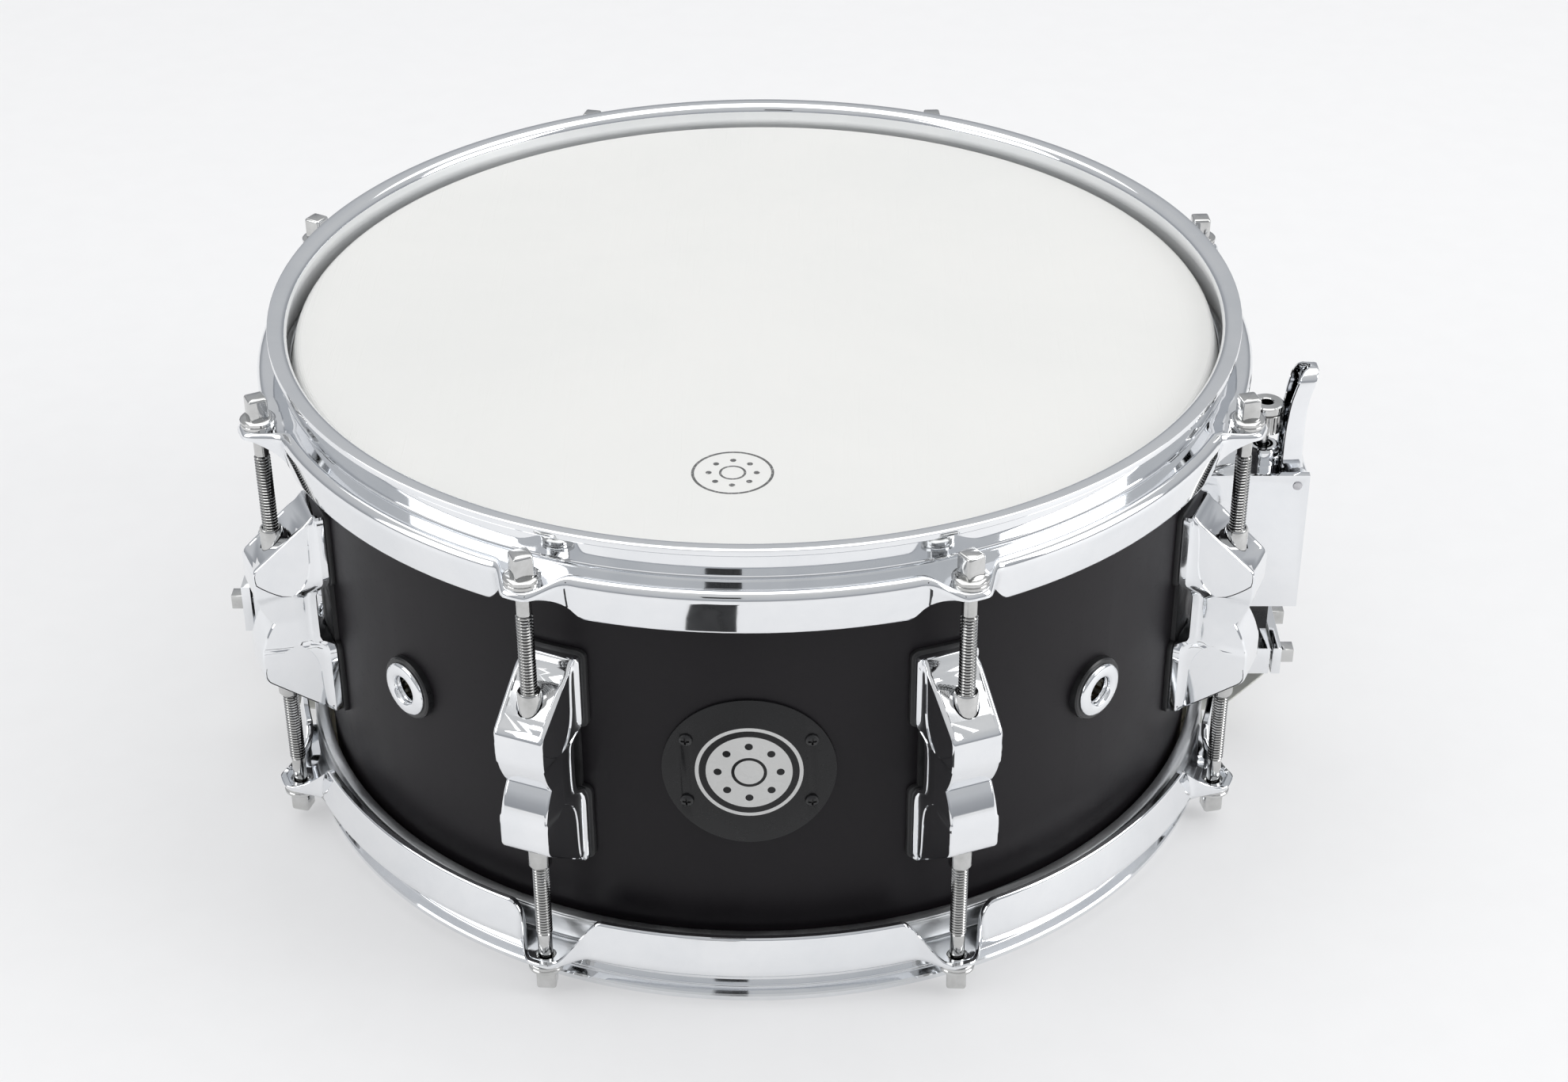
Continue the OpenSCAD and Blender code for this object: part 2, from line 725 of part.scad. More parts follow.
// A square headed key screw that lies along X with its head at x = seat
module key_screw(seat) {
    translate([seat, -key_screw_af / 2, -key_screw_af / 2])
        cube([key_screw_h, key_screw_af, key_screw_af]);
    x_cylinder(-5, seat + 5.1, 2.9);
}

module clamp_screws() {
    color("#b9b6b0") clamp_screw_places() key_screw(strap_t + 2 * strap_gap + plate_t);
}

// ---------------------------------------------------------------- butt plate

module butt_body() {
    color("#d2d5d8") rotate([0, 0, 180]) difference() {
        translate([shell_r - 5, -butt_w / 2, butt_z - butt_h / 2])
            cube([butt_face - shell_r + 5, butt_w, butt_h]);
        cylinder(h = total_h, r = shell_r + seat_gap, $fn = 180);
        for (s = [-1, 1]) {
            translate([0, s * butt_screw_y, butt_z]) x_cylinder(shell_r - 5, 16, lug_screw_d);
            translate([butt_face, s * butt_screw_y, butt_z]) x_cylinder(-9, 12, 3);
        }
        translate([shell_r + 2, -5, butt_z - butt_h]) cube([butt_face - shell_r - 5, 10, 2 * butt_h]);
    }
}

module butt_clamp_plate() {
    color("#cfd2d5") rotate([0, 0, 180]) translate([butt_face, 0, butt_z]) difference() {
        translate([strap_t + 2 * strap_gap, -butt_w / 2, -butt_h / 2 + 4])
            cube([plate_t, butt_w, butt_h - 8]);
        for (s = [-1, 1]) translate([0, s * butt_screw_y, 0]) x_cylinder(0, 10, 3.4);
    }
}

module butt_clamp_screws() {
    color("#b9b6b0") rotate([0, 0, 180]) for (s = [-1, 1])
        translate([butt_face, s * butt_screw_y, butt_z])
            key_screw(strap_t + 2 * strap_gap + plate_t);
}

module butt_screws() {
    color("#a7a9ab") rotate([0, 0, 180]) for (s = [-1, 1])
        translate([0, s * butt_screw_y, butt_z]) shell_screw(shell_r + 10, butt_screw_y);
}

// ---------------------------------------------------------------- snares

module snare_wires() {
    first = -(wire_count - 1) / 2 * wire_pitch;
    color("#b8bbbe") for (i = [0 : wire_count - 1])
        translate([0, first + i * wire_pitch, wire_z]) x_cylinder(-wire_len / 2, wire_len, wire_d);
}

module snare_end_plates() {
    color("#a9acaf") for (s = [-1, 1])
        translate([s * (wire_len / 2 + end_plate_l / 2), 0, wire_z])
            cube([end_plate_l, end_plate_w, end_plate_t], center = true);
}

// A strap's centre line runs out under the head, over the lip and up into its clamp
module strap(clamp_x, clamp_bottom, clamp_top) {
    half = strap_t / 2;
    bend = [clamp_x, clamp_bottom - 2.5];
    rise = atan2(bend[1] - strap_out[1], clamp_x - strap_out[0]);
    side = half * [-sin(rise), cos(rise)];
    rotate([90, 0, 0]) linear_extrude(strap_w, center = true) polygon([
        [strap_in_x, strap_z + strap_t],
        [strap_in_x, strap_z],
        [strap_out[0] - 6, strap_z - half],
        strap_out - side,
        bend - side,
        [clamp_x + half, bend[1] + 1],
        [clamp_x + half, clamp_top],
        [clamp_x - half, clamp_top],
        [clamp_x - half, bend[1] + 1.6],
        bend + side,
        strap_out + side + [-0.2, 0.4],
        [strap_out[0] - 6, strap_z + half]]);
}

module strainer_strap() {
    color("#e6e6e2")
        strap(clamp_face + strap_gap + strap_t / 2, clamp_z[0], clamp_z[1] - 1);
}

module butt_strap() {
    color("#e6e6e2") rotate([0, 0, 180])
        strap(butt_face + strap_gap + strap_t / 2, butt_z - butt_h / 2, butt_z + butt_h / 2 - 5);
}

// ---------------------------------------------------------------- nodes

shell();
head_film();  // batter_head_film
flesh_hoop();  // batter_flesh_hoop
turned_over() head_film();  // snare_head_film
turned_over() flesh_hoop();  // snare_flesh_hoop
batter_hoop();
snare_hoop();
for (i = [1 : lug_count]) rotate([0, 0, lug_angles[i - 1]]) lug();
for (i = [1 : lug_count]) batter_rod(i);
for (i = [1 : lug_count]) snare_rod(i);
lug_gaskets();
lug_screws();
screw_washers();
swivel_nuts();
rod_washers();  // batter_rod_washers
turned_over() rod_washers();  // snare_rod_washers
vent_grommets();
vent_washers();
vent_lock_rings();
badge_plate();
badge_screws();
strainer_housing();
strainer_screws();
throw_lever();
lever_pin();
slide_block();
tuning_knob();
snare_clamp();
clamp_plate();
clamp_screws();
butt_body();
butt_clamp_plate();
butt_clamp_screws();
butt_screws();
snare_wires();
snare_end_plates();
strainer_strap();
butt_strap();
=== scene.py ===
import json
from math import atan2, cos, pi, radians, sin

import bmesh
import bpy
from mathutils import Matrix, Vector

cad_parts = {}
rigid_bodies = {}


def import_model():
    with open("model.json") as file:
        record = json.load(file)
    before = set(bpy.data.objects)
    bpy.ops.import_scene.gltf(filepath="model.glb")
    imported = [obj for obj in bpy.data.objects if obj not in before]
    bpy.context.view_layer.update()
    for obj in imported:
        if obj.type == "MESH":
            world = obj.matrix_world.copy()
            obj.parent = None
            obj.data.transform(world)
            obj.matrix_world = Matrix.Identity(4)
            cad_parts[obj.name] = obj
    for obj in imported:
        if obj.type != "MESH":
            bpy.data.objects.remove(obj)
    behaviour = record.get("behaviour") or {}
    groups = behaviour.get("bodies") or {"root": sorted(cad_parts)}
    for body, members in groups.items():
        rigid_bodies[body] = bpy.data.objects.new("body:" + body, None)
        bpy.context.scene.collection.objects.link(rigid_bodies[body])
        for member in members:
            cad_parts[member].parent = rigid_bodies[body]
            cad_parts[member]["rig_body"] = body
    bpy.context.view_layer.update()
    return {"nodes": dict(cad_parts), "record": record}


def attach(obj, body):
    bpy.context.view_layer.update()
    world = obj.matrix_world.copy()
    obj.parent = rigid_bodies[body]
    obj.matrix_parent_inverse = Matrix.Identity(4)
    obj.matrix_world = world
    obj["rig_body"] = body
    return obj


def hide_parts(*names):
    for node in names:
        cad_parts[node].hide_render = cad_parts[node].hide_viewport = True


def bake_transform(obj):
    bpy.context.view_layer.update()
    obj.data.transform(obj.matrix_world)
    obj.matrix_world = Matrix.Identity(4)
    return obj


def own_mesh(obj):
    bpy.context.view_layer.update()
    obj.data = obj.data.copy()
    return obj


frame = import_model()
nodes = frame["nodes"]
scene = bpy.context.scene
scene.view_settings.view_transform = "Standard"

# Drum sizes, in metres
DRUM_H = 0.1677
MID_Z = DRUM_H / 2
SHELL_R = 0.1515
ROD_R = 0.1682
LUG_ANGLES = [radians(-67.5 + 45 * i) for i in range(8)]
VENT_ANGLES = [radians(-135), radians(-45)]

# ------------------------------------------------------------------ camera

LENS_MM = 64.35
CAMERA_AT = Vector((0.0182, -0.8291, 0.5928))
CAMERA_TURN = radians(0.62)
CAMERA_DOWN = radians(32.22)
CAMERA_ROLL = radians(-0.306)

camera_data = bpy.data.cameras.new("camera")
camera_data.lens = LENS_MM
camera_data.sensor_width = 36
camera = bpy.data.objects.new("camera", camera_data)
scene.collection.objects.link(camera)
camera.matrix_world = (Matrix.Translation(CAMERA_AT)
                       @ Matrix.Rotation(CAMERA_TURN, 4, "Z")
                       @ Matrix.Rotation(pi / 2 - CAMERA_DOWN, 4, "X")
                       @ Matrix.Rotation(CAMERA_ROLL, 4, "Z"))
scene.camera = camera

# ------------------------------------------------------------------ shader helpers


def node_group(name, inputs, outputs):
    """A new shader node group with its sockets, and its input and output nodes."""
    tree = bpy.data.node_groups.new(name, "ShaderNodeTree")
    for label, kind, value in inputs:
        socket = tree.interface.new_socket(label, in_out="INPUT", socket_type=kind)
        if value is not None:
            socket.default_value = value
    for label, kind in outputs:
        tree.interface.new_socket(label, in_out="OUTPUT", socket_type=kind)
    return tree, tree.nodes.new("NodeGroupInput"), tree.nodes.new("NodeGroupOutput")


def put(tree, kind, settings=(), **inputs):
    """Adds a node; each input, by name or as i and its number, is a value or a socket to link."""
    node = tree.nodes.new(kind)
    for key, value in dict(settings).items():
        setattr(node, key, value)
    for key, value in inputs.items():
        numbered = key[0] == "i" and key[1:].isdigit()
        socket = node.inputs[int(key[1:]) if numbered else key.replace("_", " ")]
        if isinstance(value, bpy.types.NodeSocket):
            tree.links.new(value, socket)
        else:
            socket.default_value = value
    return node


def ramp(tree, fac, stops):
    """A colour ramp from (position, grey or colour) stops."""
    node = put(tree, "ShaderNodeValToRGB", Fac=fac)
    while len(node.color_ramp.elements) < len(stops):
        node.color_ramp.elements.new(0.5)
    for element, (position, colour) in zip(node.color_ramp.elements, stops):
        element.position = position
        element.color = (colour,) * 3 + (1,) if isinstance(colour, float) else (*colour, 1)
    return node.outputs["Color"]


def calc(tree, operation, first, second=0.0, third=0.5):
    """The result of a math node."""
    return put(tree, "ShaderNodeMath", {"operation": operation}, i0=first, i1=second,
               i2=third).outputs[0]


def blended(tree, mask, first, second, way="MIX"):
    """The colour between two, by a mask."""
    return put(tree, "ShaderNodeMix", {"data_type": "RGBA", "blend_type": way}, Factor=mask,
               i6=first, i7=second).outputs[2]


FLOAT = "NodeSocketFloat"
VECTOR = "NodeSocketVector"

# Smudges, fine scratches and grain, each at its own scale, as a mask and a height
wear, wear_in, wear_out = node_group(
    "handling_wear",
    [("Vector", VECTOR, None), ("Smudge Scale", FLOAT, 35.0), ("Scratch Scale", FLOAT, 900.0),
     ("Grain Scale", FLOAT, 2500.0), ("Low", FLOAT, 0.05), ("High", FLOAT, 0.12)],
    [("Roughness", FLOAT), ("Smudge", FLOAT), ("Height", FLOAT)])
smudge = put(wear, "ShaderNodeTexNoise", Vector=wear_in.outputs["Vector"],
             Scale=wear_in.outputs["Smudge Scale"], Detail=5.0, Roughness=0.62, Distortion=0.3)
long_way = put(wear, "ShaderNodeMapping", Vector=wear_in.outputs["Vector"],
               Rotation=(0.4, 0.9, 0.3), Scale=(1.0, 0.03, 1.0))
scratch = put(wear, "ShaderNodeTexNoise", Vector=long_way.outputs[0],
              Scale=wear_in.outputs["Scratch Scale"], Detail=2.0)
scratch_line = ramp(wear, scratch.outputs[0], [(0.60, 0.0), (0.72, 1.0)])
grain = put(wear, "ShaderNodeTexNoise", Vector=wear_in.outputs["Vector"],
            Scale=wear_in.outputs["Grain Scale"], Detail=3.0)
smudge_mask = ramp(wear, smudge.outputs[0], [(0.38, 0.0), (0.66, 1.0)])
rough_mix = calc(wear, "MULTIPLY_ADD", scratch_line, 0.35, smudge_mask)
rough_out = put(wear, "ShaderNodeMapRange", i0=rough_mix, i3=wear_in.outputs["Low"],
                i4=wear_in.outputs["High"])
height = calc(wear, "MULTIPLY_ADD", grain.outputs[0], 0.6, scratch_line)
wear.links.new(rough_out.outputs[0], wear_out.inputs["Roughness"])
wear.links.new(smudge_mask, wear_out.inputs["Smudge"])
wear.links.new(height, wear_out.inputs["Height"])

# A printed plan of a drum: its outer ring, the round field within, and eight dots with a small ring.
# Radii are shares of the mark's size
RING_AT = 0.965
RING_HALF = 0.035
FIELD_TO = 0.80
DOTS_AT = 0.58
DOT_R = 0.075
HUB_RING_AT = 0.30
HUB_RING_HALF = 0.03
mark, mark_in, mark_out = node_group(
    "drum_plan_mark", [("Across", FLOAT, 0.0), ("Along", FLOAT, 0.0), ("Size", FLOAT, 0.01)],
    [("Ring", FLOAT), ("Field", FLOAT), ("Dots", FLOAT)])
across = calc(mark, "DIVIDE", mark_in.outputs["Across"], mark_in.outputs["Size"])
along = calc(mark, "DIVIDE", mark_in.outputs["Along"], mark_in.outputs["Size"])
far = calc(mark, "SQRT", calc(mark, "MULTIPLY_ADD", across, across,
                              calc(mark, "MULTIPLY", along, along)))
sector = calc(mark, "PINGPONG", calc(mark, "ARCTAN2", along, across), pi / 8)
dot_x = calc(mark, "SUBTRACT", calc(mark, "MULTIPLY", far, calc(mark, "COSINE", sector)),
             DOTS_AT)
dot_y = calc(mark, "MULTIPLY", far, calc(mark, "SINE", sector))
dot_far = calc(mark, "SQRT", calc(mark, "MULTIPLY_ADD", dot_x, dot_x,
                                  calc(mark, "MULTIPLY", dot_y, dot_y)))
mark.links.new(calc(mark, "COMPARE", far, RING_AT, RING_HALF), mark_out.inputs["Ring"])
mark.links.new(calc(mark, "LESS_THAN", far, FIELD_TO), mark_out.inputs["Field"])
dots = calc(mark, "MAXIMUM", calc(mark, "LESS_THAN", dot_far, DOT_R),
            calc(mark, "COMPARE", far, HUB_RING_AT, HUB_RING_HALF))
mark.links.new(dots, mark_out.inputs["Dots"])


def finish_named(name, colour, worn_colour, low, high, bump=0.02, bump_mm=0.01, metallic=0.0,
                 smudge_scale=35.0, scratch_scale=900.0, grain_scale=2500.0, **sockets):
    """A finish whose colour, roughness and bump come from handling wear, and any other sockets."""
    material = bpy.data.materials.new(name)
    material.use_nodes = True
    tree = material.node_tree
    shader = tree.nodes["Principled BSDF"]
    place = put(tree, "ShaderNodeTexCoord").outputs["Object"]
    marks = put(tree, "ShaderNodeGroup", {"node_tree": wear}, Vector=place,
                Smudge_Scale=smudge_scale, Scratch_Scale=scratch_scale, Grain_Scale=grain_scale,
                Low=low, High=high)
    tint = blended(tree, marks.outputs["Smudge"], (*colour, 1), (*worn_colour, 1))
    lift = put(tree, "ShaderNodeBump", Strength=bump, Distance=bump_mm / 1000,
               Height=marks.outputs["Height"])
    tree.links.new(tint, shader.inputs["Base Color"])
    tree.links.new(marks.outputs["Roughness"], shader.inputs["Roughness"])
    tree.links.new(lift.outputs[0], shader.inputs["Normal"])
    shader.inputs["Metallic"].default_value = metallic
    for key, value in sockets.items():
        shader.inputs[key.replace("_", " ")].default_value = value
    return material, tree, shader, place, tint


def radius_of(tree, place):
    """Distance from the drum's axis."""
    flat = put(tree, "ShaderNodeVectorMath", {"operation": "MULTIPLY"}, i0=place, i1=(1, 1, 0))
    length = put(tree, "ShaderNodeVectorMath", {"operation": "LENGTH"}, i0=flat.outputs[0])
    return length.outputs["Value"]


# ------------------------------------------------------------------ finishes

# Each has its colour, its worn colour, and its least and greatest roughness
chrome = finish_named("bright_chrome", (0.88, 0.89, 0.905), (0.83, 0.845, 0.865), 0.03, 0.08,
                      bump=0.05, bump_mm=0.004, metallic=1.0)[0]

# Nickel with painted shade darkening the valleys of its threads and the knob's flutes, band and top
# recess
nickel, tree, shader, place, tint = finish_named(
    "nickel_plate", (0.64, 0.64, 0.635), (0.52, 0.52, 0.51), 0.06, 0.16,
    bump=0.1, bump_mm=0.01, metallic=1.0, smudge_scale=120.0)
groove_shade = put(tree, "ShaderNodeAttribute", {"attribute_name": "groove_shade"}).outputs["Fac"]
# Painted shade in the grooves: the nickel turns near black where the layer is set
groove_shaded_tint = blended(tree, groove_shade, tint, (0.09, 0.088, 0.085, 1))
tree.links.new(groove_shaded_tint, shader.inputs["Base Color"])

zinc = finish_named("zinc_plate", (0.60, 0.60, 0.62), (0.48, 0.48, 0.50), 0.25, 0.42,
                    bump=0.1, bump_mm=0.01, metallic=1.0, smudge_scale=150.0)[0]
alloy = finish_named("rolled_alloy", (0.70, 0.71, 0.72), (0.60, 0.61, 0.62), 0.28, 0.42,
                     bump=0.15, bump_mm=0.01, metallic=1.0, smudge_scale=50.0)[0]
rubber = finish_named("black_rubber", (0.014, 0.014, 0.015), (0.026, 0.026, 0.027), 0.42, 0.62,
                      bump=0.3, bump_mm=0.03, smudge_scale=80.0)[0]
nylon = finish_named("black_nylon", (0.012, 0.012, 0.013), (0.02, 0.02, 0.021), 0.25, 0.40,
                     bump=0.2, bump_mm=0.02, smudge_scale=90.0)[0]
enamel = finish_named("black_enamel", (0.012, 0.012, 0.013), (0.018, 0.018, 0.019), 0.28, 0.40,
                      bump=0.12, bump_mm=0.01, smudge_scale=60.0)[0]
ribbon = finish_named("milky_ribbon", (0.80, 0.80, 0.76), (0.74, 0.74, 0.70), 0.30, 0.45,
                      bump=0.1, bump_mm=0.02, smudge_scale=60.0)[0]

# Matte black lacquer outside, bare plies inside
LACQUER_FROM = 0.1507
PLIES_PER_M = 850.0
lacquer, tree, shader, place, tint = finish_named(
    "matte_lacquer", (0.0078, 0.0066, 0.0084), (0.0115, 0.0100, 0.0120), 0.40, 0.50,
    bump=0.25, bump_mm=0.03, smudge_scale=14.0, grain_scale=1800.0, Specular_IOR_Level=0.21)
from_axis = radius_of(tree, place)
inside = calc(tree, "LESS_THAN", from_axis, LACQUER_FROM)
ply_line = calc(tree, "PINGPONG", calc(tree, "MULTIPLY", from_axis, PLIES_PER_M), 0.5)
stretched = put(tree, "ShaderNodeMapping", Vector=place, Scale=(1.0, 1.0, 0.06))
fibres = put(tree, "ShaderNodeTexNoise", Vector=stretched.outputs[0], Scale=420.0, Detail=6.0,
             Distortion=0.6)
wood = ramp(tree, fibres.outputs[0], [(0.3, (0.30, 0.19, 0.09)), (0.5, (0.48, 0.33, 0.17)),
                                      (0.72, (0.60, 0.45, 0.27))])
lined_wood = blended(tree, 0.45, wood, ramp(tree, ply_line, [(0.1, 0.35), (0.3, 1.0)]), "MULTIPLY")
tree.links.new(blended(tree, inside, tint, lined_wood), shader.inputs["Base Color"])

# Sprayed white coating on the playing head, with the drum plan printed on it
HEAD_MARK_AT = (-0.005, -0.1046)
HEAD_MARK_R = 0.0125
coating, tree, shader, place, tint = finish_named(
    "sprayed_coating", (0.675, 0.672, 0.655), (0.65, 0.65, 0.635), 0.55, 0.68,
    bump=0.35, bump_mm=0.05, smudge_scale=9.0, grain_scale=1400.0, Specular_IOR_Level=0.35)
spot = put(tree, "ShaderNodeSeparateXYZ", Vector=place)
print_mark = put(tree, "ShaderNodeGroup", {"node_tree": mark}, Size=HEAD_MARK_R,
                 Across=calc(tree, "SUBTRACT", spot.outputs["X"], HEAD_MARK_AT[0]),
                 Along=calc(tree, "SUBTRACT", spot.outputs["Y"], HEAD_MARK_AT[1]))
ink_worn = ramp(tree, put(tree, "ShaderNodeTexNoise", Vector=place, Scale=1500.0).outputs[0],
                [(0.30, 0.55), (0.45, 1.0)])
ink = calc(tree, "MULTIPLY", ink_worn, calc(tree, "MAXIMUM", print_mark.outputs["Ring"],
                                            print_mark.outputs["Dots"]))
tree.links.new(blended(tree, ink, tint, (0.10, 0.10, 0.10, 1)), shader.inputs["Base Color"])

# Satin black badge with the same plan printed in pale grey
BADGE_MARK_R = 0.0164
badge, tree, shader, place, tint = finish_named(
    "badge_enamel", (0.008, 0.008, 0.0088), (0.011, 0.011, 0.012), 0.24, 0.30,
    bump=0.12, bump_mm=0.01, smudge_scale=60.0, Specular_IOR_Level=0.30)
spot = put(tree, "ShaderNodeSeparateXYZ", Vector=place)
plan = put(tree, "ShaderNodeGroup", {"node_tree": mark}, Size=BADGE_MARK_R, Across=spot.outputs["X"],
           Along=calc(tree, "SUBTRACT", spot.outputs["Z"], MID_Z))
pale = calc(tree, "MAXIMUM", plan.outputs["Ring"],
              calc(tree, "SUBTRACT", plan.outputs["Field"], plan.outputs["Dots"]))
tree.links.new(blended(tree, pale, tint, (0.62, 0.62, 0.61, 1)), shader.inputs["Base Color"])

clear_film = finish_named("hazy_film", (0.80, 0.77, 0.66), (0.74, 0.71, 0.60), 0.22, 0.36,
                          bump=0.1, bump_mm=0.02, Transmission_Weight=0.45)[0]

finishes = {"shell_lacquer": lacquer, "coated_film": coating, "clear_film": clear_film,
            "hoop_alloy": alloy, "chrome": chrome, "nickel": nickel, "zinc_steel": zinc,
            "rubber": rubber, "black_plastic": nylon, "black_metal": enamel, "strap_film": ribbon}
slot_of = {part["node"]: part["material_slot"] for part in frame["record"]["subparts"]}
for name, node in nodes.items():
    for holder in node.material_slots:
        holder.material = finishes[slot_of[name]]

# ------------------------------------------------------------------ mesh helpers


# Points closer than this are one, and edges of a CAD node's copy bent by more than this are sharp
WELD = 1e-6
CAD_WELD = 2e-6
CAD_FLAT = radians(0.8)
CAD_SHARP = radians(24)


def turned(profile, steps, closed=False):
    """A part turned about Z from (radius, height) pairs: a line from axis to axis, or a closed loop."""
    bm = bmesh.new()
    verts = [bm.verts.new((r, 0, z)) for r, z in profile]
    ends = verts[1:] + verts[:1] if closed else verts[1:]
    edges = [bm.edges.new(pair) for pair in zip(verts, ends)]
    bmesh.ops.spin(bm, geom=verts + edges, cent=(0, 0, 0), axis=(0, 0, 1), dvec=(0, 0, 0),
                   angle=2 * pi, steps=steps, use_merge=True, use_duplicate=False)
    bmesh.ops.remove_doubles(bm, verts=bm.verts, dist=WELD)
    bmesh.ops.recalc_face_normals(bm, faces=bm.faces)
    return bm


def ring(profile, steps):
    """A ring turned about Z from a closed loop of (radius, height) pairs."""
    return turned(profile, steps, closed=True)


def block(size, at):
    """A block of that size with its middle at that point."""
    bm = bmesh.new()
    bmesh.ops.create_cube(bm, size=1.0)
    bmesh.ops.scale(bm, vec=size, verts=bm.verts)
    bmesh.ops.translate(bm, vec=at, verts=bm.verts)
    return bm


def pin(radius, length, segments):
    """A solid round pin along Z with its middle at the origin."""
    bm = bmesh.new()
    bmesh.ops.create_cone(bm, cap_ends=True, segments=segments, radius1=radius, radius2=radius,
                          depth=length)
    return bm


def closed_loop(bm, points):
    """The edges of a closed loop through the given points."""
    verts = [bm.verts.new(point) for point in points]
    return [bm.edges.new(pair) for pair in zip(verts, verts[1:] + verts[:1])]


def skinned(bm, sections, capped=True):
    """Bridges sections in turn, the first one capped if wanted; gives the first and last loops."""
    first = last = None
    for points in sections:
        edges = closed_loop(bm, points)
        if last:
            bmesh.ops.bridge_loops(bm, edges=last + edges)
        elif capped:
            bmesh.ops.contextual_create(bm, geom=edges)
        first = first or edges
        last = edges
    return first, last


def rounded(bm, edges, by, segments=2, clamped=False):
    """Rounds the given edges by that much."""
    bmesh.ops.bevel(bm, geom=edges, offset=by, segments=segments, profile=0.5, affect="EDGES",
                    clamp_overlap=clamped, material=-1)


def joined(*meshes):
    """One bmesh that holds all the given ones."""
    whole = bmesh.new()
    for bm in meshes:
        mesh = bpy.data.meshes.new("joining")
        bm.to_mesh(mesh)
        bm.free()
        whole.from_mesh(mesh)
        bpy.data.meshes.remove(mesh)
    return whole


def copies(bm, places):
    """One bmesh with a copy of bm at each place."""
    moved = []
    for place in places:
        copy = bm.copy()
        bmesh.ops.transform(copy, matrix=place, verts=copy.verts)
        moved.append(copy)
    bm.free()
    return joined(*moved)


def softened(node, edge):
    """A merged copy of a CAD node whose sharp edges are rounded by that much."""
    bm = bmesh.new()
    bm.from_mesh(nodes[node].data)
    bmesh.ops.remove_doubles(bm, verts=bm.verts, dist=CAD_WELD)
    bmesh.ops.dissolve_limit(bm, angle_limit=CAD_FLAT, verts=bm.verts[:], edges=bm.edges[:])
    sharp = [e for e in bm.edges if len(e.link_faces) == 2
             and abs(e.calc_face_angle(0)) > CAD_SHARP]
    rounded(bm, sharp, edge, clamped=True)
    return bm


def cut(bm, tool):
    """bm with the shape of tool taken out of it."""
    shapes = []
    for label, source in (("cut_from", bm), ("cut_with", tool)):
        mesh = bpy.data.meshes.new(label)
        source.to_mesh(mesh)
        source.free()
        shape = bpy.data.objects.new(label, mesh)
        scene.collection.objects.link(shape)
        shapes.append(shape)
    boolean = shapes[0].modifiers.new("cut", "BOOLEAN")
    boolean.operation = "DIFFERENCE"
    boolean.solver = "EXACT"
    boolean.object = shapes[1]
    whole = bmesh.new()
    whole.from_object(shapes[0], bpy.context.evaluated_depsgraph_get())
    for shape in shapes:
        mesh = shape.data
        bpy.data.objects.remove(shape)
        bpy.data.meshes.remove(mesh)
    return whole


def eased(x, low, high):
    """0 below low, 1 above high, and a smooth rise between."""
    t = min(1.0, max(0.0, (x - low) / (high - low)))
    return t * t * (3 - 2 * t)


def bent(middle, radius, start, end, steps):
    """Points of an arc in a section, in mm."""
    return [(middle[0] + radius * cos(radians(start + (end - start) * i / steps)),
             middle[1] + radius * sin(radians(start + (end - start) * i / steps)))
            for i in range(steps + 1)]


def about(angle):
    """A turn about the drum's axis."""
    return Matrix.Rotation(angle, 4, "Z")


def outward(angle, radius, z):
    """A place on the shell whose Z points out from the drum's axis."""
    return about(angle) @ Matrix.Translation((radius, 0, z)) @ Matrix.Rotation(pi / 2, 4, "Y")


def piece(name, bm, look, body, stands_for, place=None, smooth=30):
    """Makes an object of a bmesh, with its finish; a piece that blends two bodies has no body."""
    mesh = bpy.data.meshes.new(name)
    bm.to_mesh(mesh)
    bm.free()
    if place is not None:
        mesh.transform(place)
    mesh.shade_smooth()
    mesh.set_sharp_from_angle(angle=radians(smooth))
    mesh.materials.append(look)
    made = bpy.data.objects.new(name, mesh)
    scene.collection.objects.link(made)
    if body:
        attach(made, body)
    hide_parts(*stands_for)
    return made


TURN_OVER = Matrix.Translation((0, 0, DRUM_H)) @ Matrix.Rotation(pi, 4, "X")

# ------------------------------------------------------------------ tension rods

# Heights, radii and widths in metres, for a rod on the batter side
EAR_TOP = 0.1542
COLLAR_Z = 0.15545
COLLAR_T = 0.0016
THREAD_TOP = 0.14345
THREAD_END = 0.10135
THREAD_PITCH = 0.00106
THREAD_R = 0.0026
CORE_R = 0.0020
ROD_NECK_R = 0.0023
COLLAR_R = 0.00565
KEY_W = 0.0062
KEY_H = 0.0072
KEY_EDGE = 0.0009
ROD_STEPS = 24


